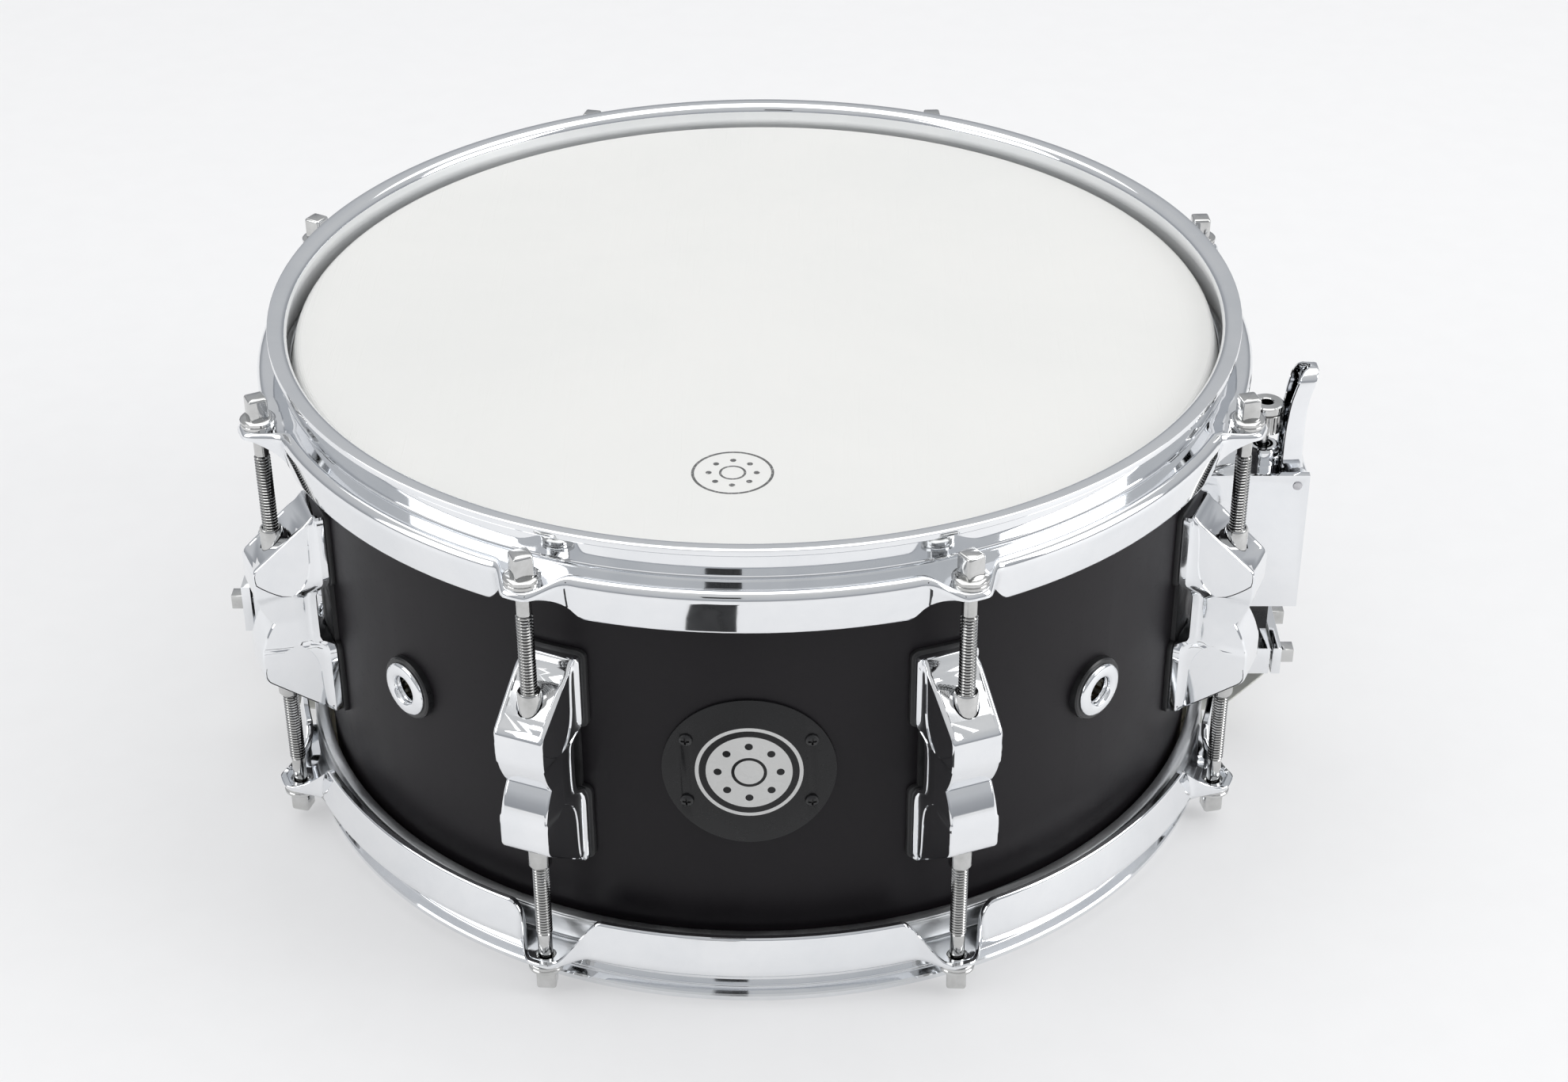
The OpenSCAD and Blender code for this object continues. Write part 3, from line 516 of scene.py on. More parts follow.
def rod_shape():
    """A drum key rod: cut thread, plain neck, collar and a square head with a soft top."""
    low = [(0, THREAD_END), (CORE_R - 0.0004, THREAD_END)]
    turns = int((THREAD_TOP - THREAD_END - 0.0006) / THREAD_PITCH)
    for i in range(turns):
        z = THREAD_END + 0.0004 + i * THREAD_PITCH
        low += [(CORE_R, z), (THREAD_R, z + THREAD_PITCH * 0.44), (THREAD_R, z + THREAD_PITCH * 0.56)]
    top = COLLAR_Z + COLLAR_T
    body = turned(low + [(CORE_R, THREAD_TOP - 0.0003), (ROD_NECK_R, THREAD_TOP),
                         (ROD_NECK_R, COLLAR_Z), (COLLAR_R - 0.00035, COLLAR_Z),
                         (COLLAR_R, COLLAR_Z + 0.0003), (COLLAR_R, top - 0.0005),
                         (COLLAR_R - 0.00055, top), (COLLAR_R - 0.00165, top + 0.0001),
                         (0, top + 0.0001)], ROD_STEPS)
    head = block((KEY_W, KEY_W, KEY_H + 0.0002), (0, 0, top + KEY_H / 2 - 0.0001))
    tall = [e for e in head.edges if abs(e.verts[0].co.z - e.verts[1].co.z) > 0.001]
    rounded(head, tall, KEY_EDGE, 3)
    crown = [e for e in head.edges if min(v.co.z for v in e.verts) > top + KEY_H - 0.0001]
    rounded(head, crown, KEY_EDGE, 3)
    # The layer marks the thread valleys, where painted shade darkens the nickel
    groove_shade_layer = body.verts.layers.float.new("groove_shade")
    for v in body.verts:
        threaded = THREAD_END < v.co.z < THREAD_TOP - 0.0001
        v[groove_shade_layer] = float(threaded and v.co.xy.length < CORE_R + 0.0001)
    return joined(body, head)


# How far each square head is turned, in degrees; the snare side starts three rods on
KEY_TURNS = [12, 38, 71, 25, 55, 83, 5, 47]
rod = rod_shape()
for i, angle in enumerate(LUG_ANGLES):
    for side, over, shift in (("batter", Matrix.Identity(4), 0), ("snare", TURN_OVER, 3)):
        turn = about(radians(KEY_TURNS[(i + shift) % 8]))
        own = about(angle) @ Matrix.Translation((ROD_R, 0, 0)) @ over @ turn
        piece(f"{side}_rod_look_{i + 1}", rod.copy(), nickel, f"{side}_rod_{i + 1}",
              [f"{side}_rod_{i + 1}"], own, 40)
rod.free()

# ------------------------------------------------------------------ lugs

# Stations of the lug's upper half, in mm: height above its middle, reach of the front,
# half width of the base, and the back and front ends of the facet on its side
LUG_STATIONS = [
    (38.0, 156.0, 8.4, 0, 0), (37.7, 156.5, 9.3, 0, 0), (36.9, 157.2, 9.9, 0, 0),
    (35.8, 158.3, 10.0, 0, 0), (34.6, 159.9, 10.0, 157.6, 159.2), (33.4, 161.6, 10.0, 157.9, 161.0),
    (31.0, 164.7, 10.0, 158.2, 164.1), (28.0, 168.5, 10.0, 158.4, 167.9),
    (25.0, 172.3, 10.0, 158.5, 171.7), (22.4, 175.6, 10.0, 158.6, 175.0),
    (21.6, 176.4, 10.0, 158.6, 175.8), (20.4, 177.1, 10.0, 158.7, 176.4),
    (19.6, 177.3, 10.0, 158.8, 176.6), (17.8, 177.3, 10.0, 159.1, 176.6),
    (16.2, 177.3, 10.0, 159.5, 176.3), (14.6, 177.3, 9.9, 160.2, 174.6),
    (13.0, 177.3, 9.6, 161.1, 172.6), (11.6, 177.2, 8.9, 162.3, 170.6),
    (10.4, 177.0, 8.5, 163.8, 168.6), (9.6, 176.8, 8.4, 0, 0), (8.0, 176.3, 8.3, 0, 0),
    (6.0, 175.6, 8.2, 0, 0), (4.0, 174.7, 8.1, 0, 0), (2.2, 173.7, 8.1, 0, 0),
    (0.8, 172.8, 8.1, 0, 0), (0.0, 172.2, 8.1, 0, 0)]
# In mm: where the lug's back lies, how far its waist stands off, half its width above the base,
# and the step round its facet
LUG_SEAT = 152.75
WAIST_LIFT = 4.6
SIDE_HALF = 8.35
STEP = 0.38
# In metres: the bores for the nuts, either side of the lug's middle
BORE_R = 0.0041
BORE_DEEP = 0.02
BORE_AT = 0.0345
BORE_STEPS = 40


def lug_section(height, front, base, facet_in, facet_out):
    """Half of a level cut through the lug, from its seat round to the middle of its front."""
    step = STEP if facet_in else 0.0
    facet_in = facet_in or min(165.0, front - 1.2)
    facet_out = facet_out or facet_in + 0.5
    field = 0.4 if 22.0 < height < 34.0 else 0.0
    pull = 0.10 * (9.0 - height) if height < 9.0 else 0.0

    def side(x):
        return SIDE_HALF - (x - 158.5) * 0.035 - pull * 0.35

    seat = LUG_SEAT + WAIST_LIFT * (1 - eased(height, 8.8, 12.2))
    foot = min(seat + 3.0, front - 0.5)
    rise = min(facet_in - 0.15, front - 0.35)
    points = [(seat, base - 0.4), (seat + 0.4, base), (foot - 0.5, base), (foot, base - 0.3)]
    wall = side(rise) + step
    if height > 30:
        wall = min(wall, base - 0.35)
    for t in (0.12, 0.3, 0.55, 1.0):
        points.append((foot + (rise - foot) * t, wall + (base - 0.4 - wall) * (1 - t) ** 2.6))
    edge = min(side(front) + step, wall)
    points += [(min(facet_in + 0.15, front - 0.3), min(side(facet_in), wall)),
               (min(facet_out - 0.15, front - 0.25), min(side(facet_out), wall)),
               (min(facet_out + 0.15, front - 0.2), min(side(facet_out) + step, wall)),
               (max(front - 0.5, min(facet_out + 0.2, front - 0.18)), edge),
               (front - 0.1, edge - 0.4), (front, edge - 0.75),
               (front, side(front) - 1.05), (front - field, side(front) - 1.35)]
    return [Vector((x, y, height)) / 1000 for x, y in points]


def lug_shape():
    """The cast lug at the drum's +X side: level cuts bridged, mirrored, and bored for its nuts."""
    halves = [lug_section(*row) for row in LUG_STATIONS]
    levels = [half + [Vector((v.x, -v.y, v.z)) for v in reversed(half)] for half in halves]
    bm = bmesh.new()
    skinned(bm, levels)
    bmesh.ops.mirror(bm, geom=bm.verts[:] + bm.edges[:] + bm.faces[:], axis="Z", merge_dist=WELD)
    bmesh.ops.remove_doubles(bm, verts=bm.verts, dist=WELD)
    bmesh.ops.recalc_face_normals(bm, faces=bm.faces)
    for way in (-1, 1):
        bore = pin(BORE_R, BORE_DEEP, BORE_STEPS)
        bmesh.ops.translate(bore, vec=(ROD_R, 0, way * BORE_AT), verts=bore.verts)
        bm = cut(bm, bore)
    bmesh.ops.translate(bm, vec=(0, 0, MID_Z), verts=bm.verts)
    return bm


lug = lug_shape()
for i, angle in enumerate(LUG_ANGLES):
    piece(f"lug_look_{i + 1}", lug.copy(), chrome, "drum", [f"lug_{i + 1}"],
          about(angle), 28)
lug.free()

# Nuts that stand out of the lugs, by their height above the lug's middle
NUT_LOW = 0.0195
NUT_TOP = 0.0325
NUT_IN = 0.00266
NUT_OUT = 0.0037
nut = ring([(NUT_IN, NUT_LOW), (NUT_OUT, NUT_LOW), (NUT_OUT, NUT_TOP - 0.0006),
            (NUT_OUT - 0.0003, NUT_TOP - 0.0001), (NUT_OUT - 0.0006, NUT_TOP),
            (NUT_OUT - 0.0008, NUT_TOP), (NUT_IN, NUT_TOP - 0.0004)], 32)
around = [about(a) @ Matrix.Translation((ROD_R, 0, MID_Z)) @ over
          for a in LUG_ANGLES for over in (Matrix.Identity(4), Matrix.Rotation(pi, 4, "X"))]
piece("nuts_look", copies(nut, around), nickel, "drum", ["swivel_nuts"], smooth=35)

# Small castings, screws and rings with their edges rounded, by that much in mm
ROUNDED = {"lug_gaskets": 0.4, "snare_clamp": 0.5, "clamp_plate": 0.4, "clamp_screws": 0.3,
           "butt_body": 0.6, "butt_clamp_plate": 0.4, "butt_clamp_screws": 0.3, "slide_block": 0.5,
           "batter_flesh_hoop": 0.8, "snare_flesh_hoop": 0.8, "lug_screws": 0.25,
           "screw_washers": 0.2, "strainer_screws": 0.25, "butt_screws": 0.25, "lever_pin": 0.3,
           "snare_end_plates": 0.3, "vent_lock_rings": 0.3}
for node, edge in ROUNDED.items():
    piece(node + "_look", softened(node, edge / 1000), finishes[slot_of[node]],
          nodes[node].get("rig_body"), [node], smooth=30)
piece("badge_plate_look", softened("badge_plate", 0.0003), badge, "drum", ["badge_plate"],
      smooth=30)

# ------------------------------------------------------------------ rings and screws

# Washers under the collars of the rods
WASHER_IN = 0.0031
WASHER_OUT = 0.0055
WASHER_T = 0.0012
SOFT = 0.0002
washer = ring([(WASHER_IN, SOFT), (WASHER_IN + SOFT, 0), (WASHER_OUT - SOFT, 0), (WASHER_OUT, SOFT),
               (WASHER_OUT, WASHER_T - SOFT), (WASHER_OUT - SOFT, WASHER_T),
               (WASHER_IN + SOFT, WASHER_T), (WASHER_IN, WASHER_T - SOFT)], 40)
for side, over in (("batter", Matrix.Identity(4)), ("snare", TURN_OVER)):
    spots = [over @ about(a) @ Matrix.Translation((ROD_R, 0, EAR_TOP)) for a in LUG_ANGLES]
    piece(f"{side}_rod_washers_look", copies(washer.copy(), spots), nickel, "drum",
          [f"{side}_rod_washers"], smooth=30)
washer.free()

# Vents: a thick black washer against the shell and a rolled grommet over it, each turned from
# (radius, height above the shell) pairs
VENT_STEPS = 64
VENT_WASHER = [
    (0.0065, -0.0006), (0.0106, -0.0006), (0.0107, 0.0006), (0.0106, 0.0018), (0.0101, 0.0023),
    (0.0094, 0.0024), (0.0065, 0.0024)]
GROMMET = [
    (0.0045, -0.0103), (0.0064, -0.0103), (0.0064, 0.0023), (0.0087, 0.0023), (0.0090, 0.0026),
    (0.0090, 0.0029), (0.0086, 0.0034), (0.0078, 0.0037), (0.0066, 0.0039), (0.0056, 0.0039),
    (0.0050, 0.0036), (0.0047, 0.0030), (0.0046, 0.0022), (0.0049, 0.0019), (0.0046, 0.0016),
    (0.0045, 0.0006)]
vents = [outward(a, SHELL_R, MID_Z) for a in VENT_ANGLES]
piece("vent_washers_look", copies(ring(VENT_WASHER, VENT_STEPS), vents), nylon, "drum",
      ["vent_washers"], smooth=30)
piece("vent_grommets_look", copies(ring(GROMMET, VENT_STEPS), vents), chrome, "drum",
      ["vent_grommets"], smooth=40)

# Small round headed screws with a cross, at the corners of the badge plate
SCREW = [
    (0, -0.0018), (0.0012, -0.0018), (0.0012, 0.0001), (0.0019, 0.0001), (0.0021, 0.0003),
    (0.0020, 0.0007), (0.0015, 0.0011), (0.0008, 0.0013), (0, 0.00132)]
SCREW_STEPS = 32
CROSS_ARM = 0.0026
CROSS_SLOT = 0.0006
CROSS_DEEP = 0.0016
CROSS_AT = 0.0012
BADGE_R = 0.152
BADGE_FACE_R = 0.1521
BADGE_ANGLE = radians(-90)
SCREW_ASIDE = 0.019
SCREW_UP = 0.0113
screw = turned(SCREW, SCREW_STEPS)
for size in ((CROSS_ARM, CROSS_SLOT, CROSS_DEEP), (CROSS_SLOT, CROSS_ARM, CROSS_DEEP)):
    screw = cut(screw, block(size, (0, 0, CROSS_AT)))
spots = [outward(BADGE_ANGLE + aside / BADGE_R, BADGE_FACE_R, MID_Z + up)
         for aside in (-SCREW_ASIDE, SCREW_ASIDE) for up in (-SCREW_UP, SCREW_UP)]
piece("badge_screws_look", copies(screw, spots), enamel, "drum", ["badge_screws"],
      smooth=30)

# ------------------------------------------------------------------ strainer

# The housing with the boss that guides the tuning screw
SCREW_X = 0.173
BOSS_R = 0.0058
BOSS_BORE_R = 0.0023
BOSS_LOW = 0.1030
BOSS_TOP = 0.1100
boss = ring([(BOSS_BORE_R, BOSS_LOW), (BOSS_R, BOSS_LOW), (BOSS_R, BOSS_TOP - 0.0010),
             (BOSS_R - 0.0006, BOSS_TOP - 0.0002), (BOSS_R - 0.0012, BOSS_TOP),
             (BOSS_BORE_R, BOSS_TOP)], 48)
bmesh.ops.translate(boss, vec=(SCREW_X, 0, 0), verts=boss.verts)
piece("strainer_housing_look", joined(softened("strainer_housing", 0.0007), boss), chrome, "drum",
      ["strainer_housing"], smooth=30)

# The tuning knob
KNOB_STEPS = 60
KNOB_R = 0.0060
KNOB_LOW = 0.1158
KNOB_TOP = 0.1263
FLUTES_TOP = 0.1228
FLUTE_SHARE = 0.955
STEM_R = 0.0017
STEM_LOW = 0.045
RECESS_R = 0.0022
RECESS_FLOOR = 0.1220


def knob_shape():
    """The knob with its screw below, a fluted grip, a plain band and a recess in its top."""
    bm = turned([(0, STEM_LOW), (STEM_R - 0.0003, STEM_LOW), (STEM_R, STEM_LOW + 0.0003),
                 (STEM_R, KNOB_LOW), (KNOB_R - 0.0010, KNOB_LOW),
                 (KNOB_R - 0.0003, KNOB_LOW + 0.0003), (KNOB_R, KNOB_LOW + 0.0008),
                 (KNOB_R, FLUTES_TOP),
                 (KNOB_R - 0.0003, FLUTES_TOP + 0.0002), (KNOB_R - 0.0003, FLUTES_TOP + 0.0006),
                 (KNOB_R, FLUTES_TOP + 0.0009), (KNOB_R, KNOB_TOP - 0.0011),
                 (KNOB_R - 0.0002, KNOB_TOP - 0.0004), (KNOB_R - 0.0007, KNOB_TOP),
                 (RECESS_R + 0.0004, KNOB_TOP), (RECESS_R, KNOB_TOP - 0.0003),
                 (RECESS_R, RECESS_FLOOR), (0, RECESS_FLOOR - 0.0001)], KNOB_STEPS)
    # The layer gives the flutes a little painted shade, and the band and the top recess full painted
    # shade
    groove_shade_layer = bm.verts.layers.float.new("groove_shade")
    for v in bm.verts:
        every_other = round(atan2(v.co.y, v.co.x) * KNOB_STEPS / (2 * pi)) % 2
        if v.co.xy.length > KNOB_R - 0.0001 and v.co.z < FLUTES_TOP + 0.0001 and every_other:
            v.co.xy *= FLUTE_SHARE
            v[groove_shade_layer] = 0.4
        in_recess = v.co.xy.length < RECESS_R + 0.0001 and abs(v.co.z - RECESS_FLOOR) < 0.0005
        in_band = FLUTES_TOP + 0.0001 < v.co.z < FLUTES_TOP + 0.0007
        if in_recess or in_band:
            v[groove_shade_layer] = 1.0
    bmesh.ops.translate(bm, vec=(SCREW_X, 0, 0), verts=bm.verts)
    return bm


piece("tuning_knob_look", knob_shape(), nickel, "knob", ["tuning_knob"], smooth=25)

# Levels of the lever in mm: height, inner and outer reach, half width, and depth of its floor
LEVER_LEVELS = [
    (100.4, 180.2, 187.2, 6.5, 5.0), (105.5, 179.0, 186.2, 6.5, 4.2),
    (107.5, 178.9, 185.8, 6.5, 1.8), (114.0, 178.9, 185.7, 6.4, 1.7),
    (120.0, 179.2, 185.8, 6.2, 1.7), (125.0, 179.7, 186.0, 6.0, 1.7),
    (129.0, 180.2, 186.4, 6.0, 1.8), (132.0, 180.8, 187.0, 6.3, 1.9),
    (134.5, 181.4, 187.6, 6.4, 2.0), (136.8, 182.2, 188.2, 6.1, 2.2),
    (138.5, 183.0, 188.7, 5.2, 2.4), (139.6, 184.2, 188.9, 3.8, 2.6),
    (140.1, 185.6, 188.6, 2.0, 2.0)]
HUB_R = 0.0045
HUB_W = 0.013
HUB_STEPS = 48
HUB_EDGE = 0.0005
LEVER_PIN_AT = (0.184, 0, 0.100)


def lever_section(z, x_in, x_out, half, floor):
    """A level cut through the lever: a channel open towards the drum, in mm."""
    wall = min(1.5, half * 0.4)
    soft = min(1.2, half * 0.3, (x_out - x_in) * 0.3)
    corner = [(x_in, half - 0.3), (x_in + 0.3, half), (x_out - soft, half),
              (x_out - soft * 0.3, half - soft * 0.3), (x_out, half - soft)]
    bed = x_out - floor
    inner = [(bed, half - wall - 0.8), (bed - 0.3, half - wall - 0.2), (x_in + 0.3, half - wall),
             (x_in, half - wall + 0.3)]
    outer = corner + [(x, -y) for x, y in reversed(corner)]
    outline = outer + [(x, -y) for x, y in reversed(inner)] + inner
    return [Vector((x, y, z)) / 1000 for x, y in outline]


def lever_shape():
    """The thumb lever lofted from its levels, closed at both ends, with the hub on its pin."""
    bm = bmesh.new()
    last = skinned(bm, [lever_section(*row) for row in LEVER_LEVELS])[1]
    bmesh.ops.contextual_create(bm, geom=last)
    bmesh.ops.recalc_face_normals(bm, faces=bm.faces)
    hub = pin(HUB_R, HUB_W, HUB_STEPS)
    rims = [e for e in hub.edges if abs(e.verts[0].co.z - e.verts[1].co.z) < WELD]
    rounded(hub, rims, HUB_EDGE)
    across = Matrix.Translation(LEVER_PIN_AT) @ Matrix.Rotation(pi / 2, 4, "X")
    bmesh.ops.transform(hub, matrix=across, verts=hub.verts)
    return joined(bm, hub)


piece("throw_lever_look", lever_shape(), chrome, "lever", ["throw_lever"], smooth=35)

# ------------------------------------------------------------------ snares

# Coiled wires between the end plates
COILS = 20
COIL_GAP = 0.0025
COIL_Z = 0.00575
COIL_TURNS = 90
COIL_STEPS = 7
COIL_LEN = 0.236
COIL_R = 0.00069
WIRE_R = 0.00036
WIRE_SIDES = 5


def coil_shape():
    """One coiled wire along X, closed at both ends."""
    bm = bmesh.new()
    bmesh.ops.create_circle(bm, cap_ends=False, radius=WIRE_R, segments=WIRE_SIDES)
    bmesh.ops.translate(bm, vec=(-COIL_LEN / 2, COIL_R, 0), verts=bm.verts)
    steps = COIL_TURNS * COIL_STEPS
    bmesh.ops.spin(bm, geom=bm.verts[:] + bm.edges[:], cent=(0, 0, 0), axis=(1, 0, 0),
                   dvec=(COIL_LEN / steps, 0, 0), angle=2 * pi * COIL_TURNS, steps=steps,
                   use_merge=False, use_duplicate=False)
    bmesh.ops.holes_fill(bm, edges=[e for e in bm.edges if e.is_boundary],
                         sides=WIRE_SIDES)
    bmesh.ops.recalc_face_normals(bm, faces=bm.faces)
    return bm


rows = [Matrix.Translation((0, COIL_GAP * (i - (COILS - 1) / 2), COIL_Z)) for i in range(COILS)]
piece("snare_wires_look", copies(coil_shape(), rows), zinc, "snares", ["snare_wires"],
      smooth=60)

# Straps from the snares to the strainer and to the butt.
# Their widths and (x, z) paths are in mm
STRAP_W = 20.0
STRAP_T = 0.6
STRAP_EDGE = 0.00012
STRAINER_PATH = [
    (121, 4.9), (132, 4.9), (145, 5.0), (152, 5.15), (158, 5.2), (162, 5.4), (165.5, 6.8),
    (168, 8.8), (171.5, 12.4), (175, 16.1), (178, 19.2), (179.4, 20.8), (179.95, 22.6),
    (179.95, 26), (179.95, 31), (179.95, 35.7)]
BUTT_PATH = [
    (-121, 4.9), (-132, 4.9), (-145, 5.0), (-152, 5.15), (-158, 5.2), (-162, 5.5), (-165, 7.4),
    (-168, 12.0), (-170.5, 18.5), (-172.8, 26.5), (-174.4, 33.5), (-175.05, 39), (-175.05, 45),
    (-175.05, 53), (-175.05, 61.7)]


def strap_shape(path):
    """A flat ribbon that follows a path, with its edges eased."""
    bm = bmesh.new()
    points = [Vector((x, z)) for x, z in path]
    sides = []
    for i in range(len(points)):
        way = points[min(i + 1, len(points) - 1)] - points[max(i - 1, 0)]
        sides.append(Vector((-way.y, way.x)).normalized() * STRAP_T / 2)
    above = [p + s for p, s in zip(points, sides)]
    below = [p - s for p, s in zip(points, sides)]
    outline = [(p.x / 1000, -STRAP_W / 2000, p.y / 1000) for p in above + below[::-1]]
    low = bmesh.ops.contextual_create(bm, geom=closed_loop(bm, outline))["faces"]
    grown = bmesh.ops.extrude_face_region(bm, geom=low, use_keep_orig=True)
    bmesh.ops.translate(bm, vec=(0, STRAP_W / 1000, 0),
                        verts=[v for v in grown["geom"] if isinstance(v, bmesh.types.BMVert)])
    bmesh.ops.recalc_face_normals(bm, faces=bm.faces)
    rounded(bm, [e for e in bm.edges if e.calc_face_angle(0) > radians(50)], STRAP_EDGE)
    return bm


strap = piece("strainer_strap_look", strap_shape(STRAINER_PATH), ribbon, "snares",
              ["strainer_strap"], smooth=40)
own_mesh(strap)
strap = piece("butt_strap_look", strap_shape(BUTT_PATH), ribbon, None, ["butt_strap"],
              smooth=40)
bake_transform(strap)

# ------------------------------------------------------------------ hoops

# Sizes of the pressed hoop in mm: radii from the axis, and drops from its top
SHEET_T = 2.3
LIP_R = 160.0
NECK_R = 153.7
BEND_R = 3.2
SKIRT_R = 164.5
SKIRT_LEAN = 2.3
SHELF_DROP = 12.0
SKIRT_DROP = 27.0
EAR_DROP = 13.5
EAR_R = 174.5
EAR_ARC_R = 161.7
# Places of the sections along the hoop, either side of the middle of an ear
ASIDES = [0, 1.5, *range(3, 21), 21.5, 25, 30, 36, 43, 50, 57, 63.5]
# In metres: the holes for the rods, and the gates for the straps in the snare hoop
EAR_HOLE_R = 0.0033
EAR_HOLE_DEEP = 0.012
EAR_HOLE_STEPS = 32
GATE_FLOOR = 0.0025
GATE_DEEP = 0.024
GATE_W = 0.064
GATE_H = 0.040
GATE_R = 0.1615


def hoop_section(aside):
    """The pressed sheet's section, in mm, that far along the hoop from the middle of an ear."""
    ear = 1 - eased(aside, 2.5, 12.5)
    skirt = eased(aside, 4.0, 16.0)
    reach = SKIRT_R + (EAR_R - SKIRT_R) * ear - 0.25 * ear * (aside / 4) ** 2
    drop = SHELF_DROP + (EAR_DROP - SHELF_DROP) * (1 - eased(aside, 4.0, 13.0))
    curl = BEND_R - (BEND_R - SHEET_T) * (1 - skirt)
    hem = curl + 0.2 + (SKIRT_DROP - SHELF_DROP - curl - 0.2) * skirt
    lean = SKIRT_LEAN * skirt
    corner = (reach - curl, -drop - curl)
    inner = max(curl - SHEET_T, 0.05)
    end = -drop - hem
    soft = 0.45
    neck = NECK_R + SHEET_T
    under = -SHELF_DROP - SHEET_T
    brim = (NECK_R + BEND_R, -BEND_R)
    return (bent(brim, BEND_R - SHEET_T, 90, 180, 4)
            + [(neck, -BEND_R - 0.35), (neck, -SHELF_DROP + 1.35), (neck, -SHELF_DROP + 1.0),
               (neck + 0.3, -SHELF_DROP + 0.3), (neck + 1.0, -SHELF_DROP),
               (neck + 1.35, -SHELF_DROP), (corner[0] - 0.35, -drop)]
            + bent(corner, curl, 90, 0, 7)
            + [(reach - lean * 0.03, corner[1] + (end - corner[1]) * 0.04),
               (reach - lean * 0.5, (end + corner[1]) / 2),
               (reach - lean * 0.96, end + soft + 0.04 * (corner[1] - end)),
               (reach - lean, end + soft),
               (reach - lean - soft, end), (reach - lean - SHEET_T + soft, end),
               (reach - lean - SHEET_T, end + soft),
               (reach - lean * 0.5 - SHEET_T, (end + corner[1]) / 2)]
            + bent(corner, inner, 0, 90, 4)
            + [((NECK_R + 2 + corner[0]) / 2, (-SHELF_DROP - drop) / 2 - SHEET_T),
               (NECK_R + 1.0, under), (NECK_R + 0.3, under + 0.3), (NECK_R, under + 1.0)]
            + bent(brim, BEND_R, 180, 90, 7)
            + [(LIP_R - 0.5, 0), (LIP_R - 0.12, -0.15), (LIP_R, -0.5), (LIP_R, -SHEET_T + 0.5),
               (LIP_R - 0.5, -SHEET_T)])


def hoop_shape():
    """A flanged hoop lofted round the drum, its skirt running out into eight ears."""
    way = [-aside for aside in ASIDES[:0:-1]] + ASIDES[:-1]
    sections = []
    for angle in LUG_ANGLES:
        for along in way:
            turn = angle + along / EAR_ARC_R
            if abs(along) == ASIDES[-1]:
                turn = angle - pi / 8
            sections.append([(r / 1000 * cos(turn), r / 1000 * sin(turn), DRUM_H + z / 1000)
                             for r, z in hoop_section(abs(along))])
    bm = bmesh.new()
    first, last = skinned(bm, sections, capped=False)
    bmesh.ops.bridge_loops(bm, edges=last + first)
    bmesh.ops.recalc_face_normals(bm, faces=bm.faces)
    holes = [about(a) @ Matrix.Translation((ROD_R, 0, EAR_TOP)) for a in LUG_ANGLES]
    return cut(bm, copies(pin(EAR_HOLE_R, EAR_HOLE_DEEP, EAR_HOLE_STEPS), holes))


hoop = hoop_shape()
piece("batter_hoop_look", hoop.copy(), chrome, "drum", ["batter_hoop"], smooth=38)
bmesh.ops.transform(hoop, matrix=TURN_OVER, verts=hoop.verts)
gates = joined(*[block((GATE_DEEP, GATE_W, GATE_H), (side * GATE_R, 0, GATE_FLOOR + GATE_H / 2))
                 for side in (-1, 1)])
piece("snare_hoop_look", cut(hoop, gates), chrome, "drum", ["snare_hoop"], smooth=38)

# ------------------------------------------------------------------ studio

# The floor is pale paper that fades into the even backdrop farther out
BACKDROP = (0.865, 0.865, 0.87, 1)
FADE_FROM = 0.9
FADE_TO = 2.6
floor_look = bpy.data.materials.new("paper_floor")
floor_look.use_nodes = True
tree = floor_look.node_tree
shader = tree.nodes["Principled BSDF"]
speck = put(tree, "ShaderNodeTexNoise", Vector=put(tree, "ShaderNodeTexCoord").outputs["Object"],
            Scale=60.0, Detail=4.0)
paper_tone = ramp(tree, speck.outputs[0],
                  [(0.3, (0.448, 0.448, 0.451)), (0.7, (0.454, 0.454, 0.457))])
tree.links.new(paper_tone, shader.inputs["Base Color"])
tree.links.new(paper_tone, shader.inputs["Emission Color"])
shader.inputs["Emission Strength"].default_value = 0.83
shader.inputs["Roughness"].default_value = 0.6
shader.inputs["Specular IOR Level"].default_value = 0.25
far_paper = put(tree, "ShaderNodeEmission", Color=BACKDROP, Strength=1.0)
far_out = radius_of(tree, put(tree, "ShaderNodeTexCoord").outputs["Object"])
fade = put(tree, "ShaderNodeMapRange", {"interpolation_type": "SMOOTHSTEP"}, i0=far_out,
           i1=FADE_FROM, i2=FADE_TO)
faded = put(tree, "ShaderNodeMixShader", Fac=fade.outputs[0], i1=shader.outputs[0],
            i2=far_paper.outputs[0])
tree.links.new(faded.outputs[0], tree.nodes["Material Output"].inputs["Surface"])


def sheet(name, look, place):
    """A flat sheet, two metres square before it is placed."""
    bm = bmesh.new()
    bmesh.ops.create_grid(bm, x_segments=1, y_segments=1, size=1.0)
    bmesh.ops.transform(bm, matrix=place, verts=bm.verts)
    mesh = bpy.data.meshes.new(name)
    bm.to_mesh(mesh)
    bm.free()
    mesh.materials.append(look)
    made = bpy.data.objects.new(name, mesh)
    scene.collection.objects.link(made)
    return made


sheet("floor", floor_look, Matrix.Diagonal((6.0, 6.0, 1, 1)))

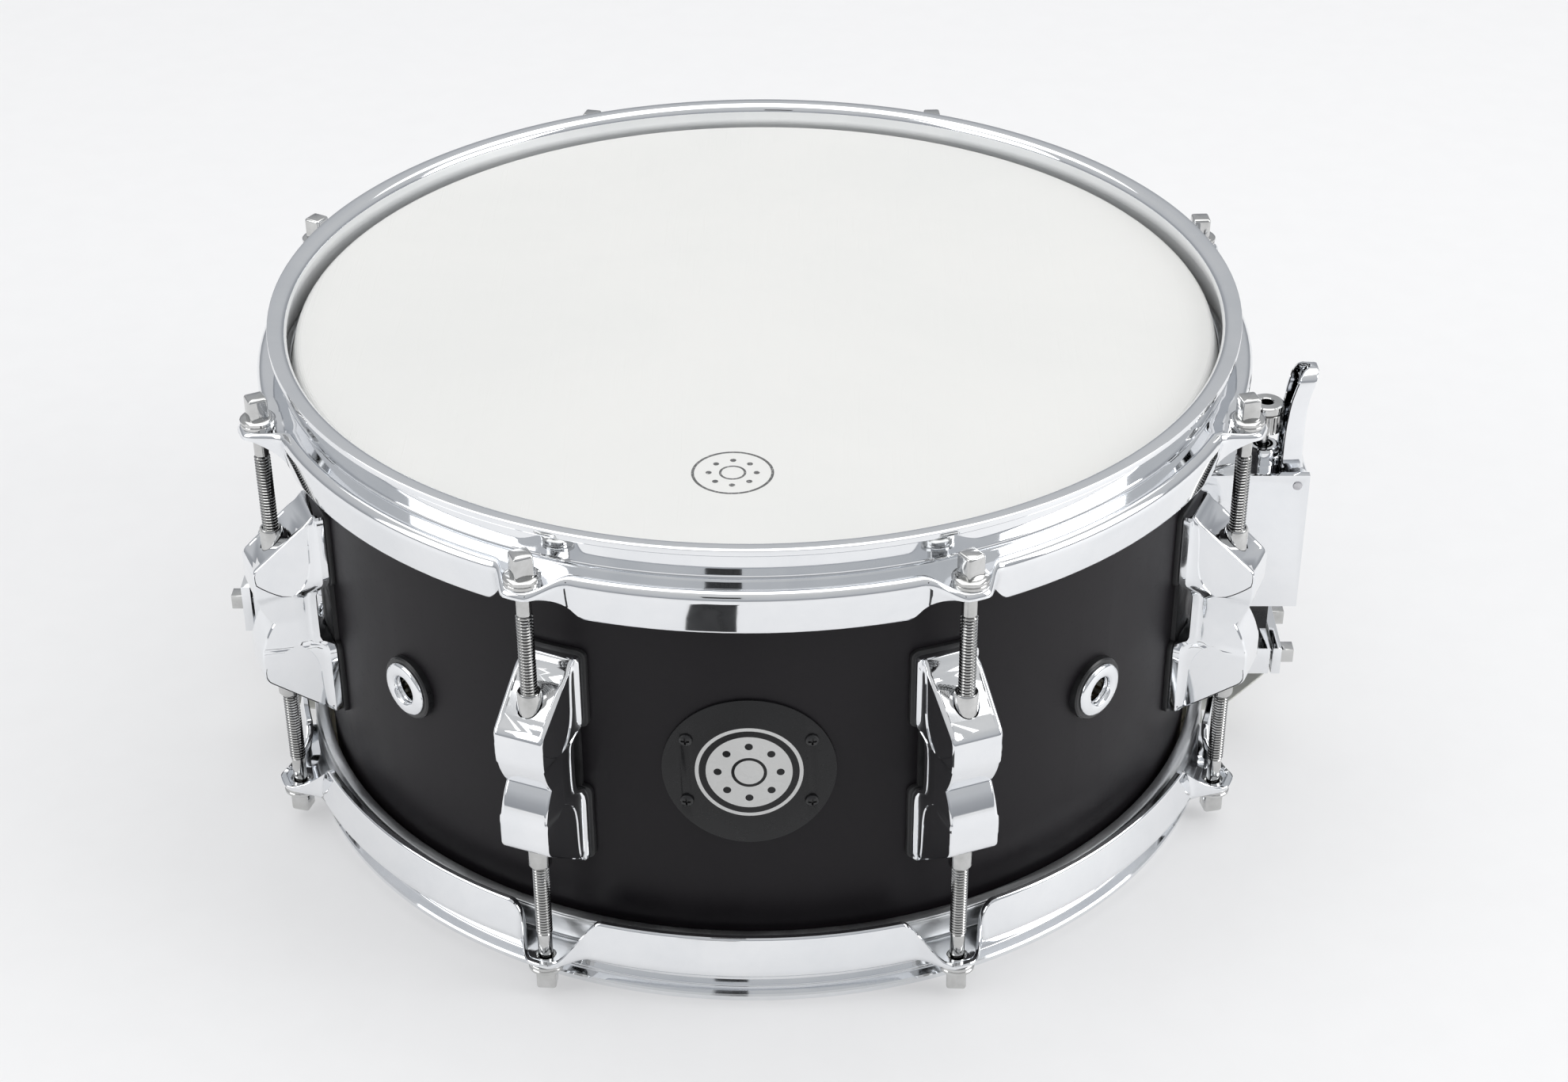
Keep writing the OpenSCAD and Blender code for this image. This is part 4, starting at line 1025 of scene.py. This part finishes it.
# The room lights the drum from all round; the camera sees the plain backdrop instead
world = bpy.data.worlds.new("studio")
scene.world = world
world.use_nodes = True
tree = world.node_tree
tree.nodes.clear()
path = put(tree, "ShaderNodeLightPath")
up = put(tree, "ShaderNodeSeparateXYZ", Vector=put(tree, "ShaderNodeTexCoord").outputs["Generated"])
sky = ramp(tree, put(tree, "ShaderNodeMapRange", i0=up.outputs["Z"], i1=-1.0, i2=1.0).outputs[0],
           [(0.0, 0.70), (0.49, 0.70), (0.50, (0.36, 0.375, 0.40)), (0.59, (0.44, 0.455, 0.48)),
            (0.675, (0.60, 0.615, 0.64)), (0.875, (0.68, 0.69, 0.70)), (1.0, 0.85)])
room = put(tree, "ShaderNodeBackground", Color=sky, Strength=0.85)
backdrop = put(tree, "ShaderNodeBackground", Color=BACKDROP, Strength=1.0)
mixed = put(tree, "ShaderNodeMixShader", Fac=path.outputs["Is Camera Ray"],
            i1=room.outputs[0], i2=backdrop.outputs[0])
put(tree, "ShaderNodeOutputWorld", Surface=mixed.outputs[0])


def softbox(name, at, aim, size, watts):
    """A rectangular lamp at a point, turned towards another."""
    data = bpy.data.lights.new(name, "AREA")
    data.shape = "RECTANGLE"
    data.size, data.size_y = size
    data.energy = watts
    lamp = bpy.data.objects.new(name, data)
    turn = (Vector(aim) - Vector(at)).to_track_quat("-Z", "Y")
    lamp.matrix_world = Matrix.Translation(at) @ turn.to_matrix().to_4x4()
    scene.collection.objects.link(lamp)


softbox("top_softbox", (0.0, 0.3, 1.9), (0, 0, 0), (2.6, 2.0), 22)
softbox("left_softbox", (-1.7, -0.7, 1.1), (0, 0, 0.1), (1.2, 1.4), 9)
softbox("right_softbox", (1.8, -0.4, 1.0), (0, 0, 0.1), (1.2, 1.2), 19)

# Two dark cards, seen only in the polished metal: one beside the camera, one just above the floor
beside_camera = (Matrix.Translation((-0.085, -0.80, 0.585)) @ Matrix.Rotation(radians(58), 4, "X")
                 @ Matrix.Diagonal((0.055, 0.10, 1, 1)))
by_the_drum = Matrix.Translation((-0.030, -0.29, 0.004)) @ Matrix.Diagonal((0.019, 0.050, 1, 1))
for name, place in (("camera_card", beside_camera), ("floor_card", by_the_drum)):
    card = sheet(name, nylon, place)
    card.visible_camera = False
    card.visible_diffuse = False
    card.visible_shadow = False
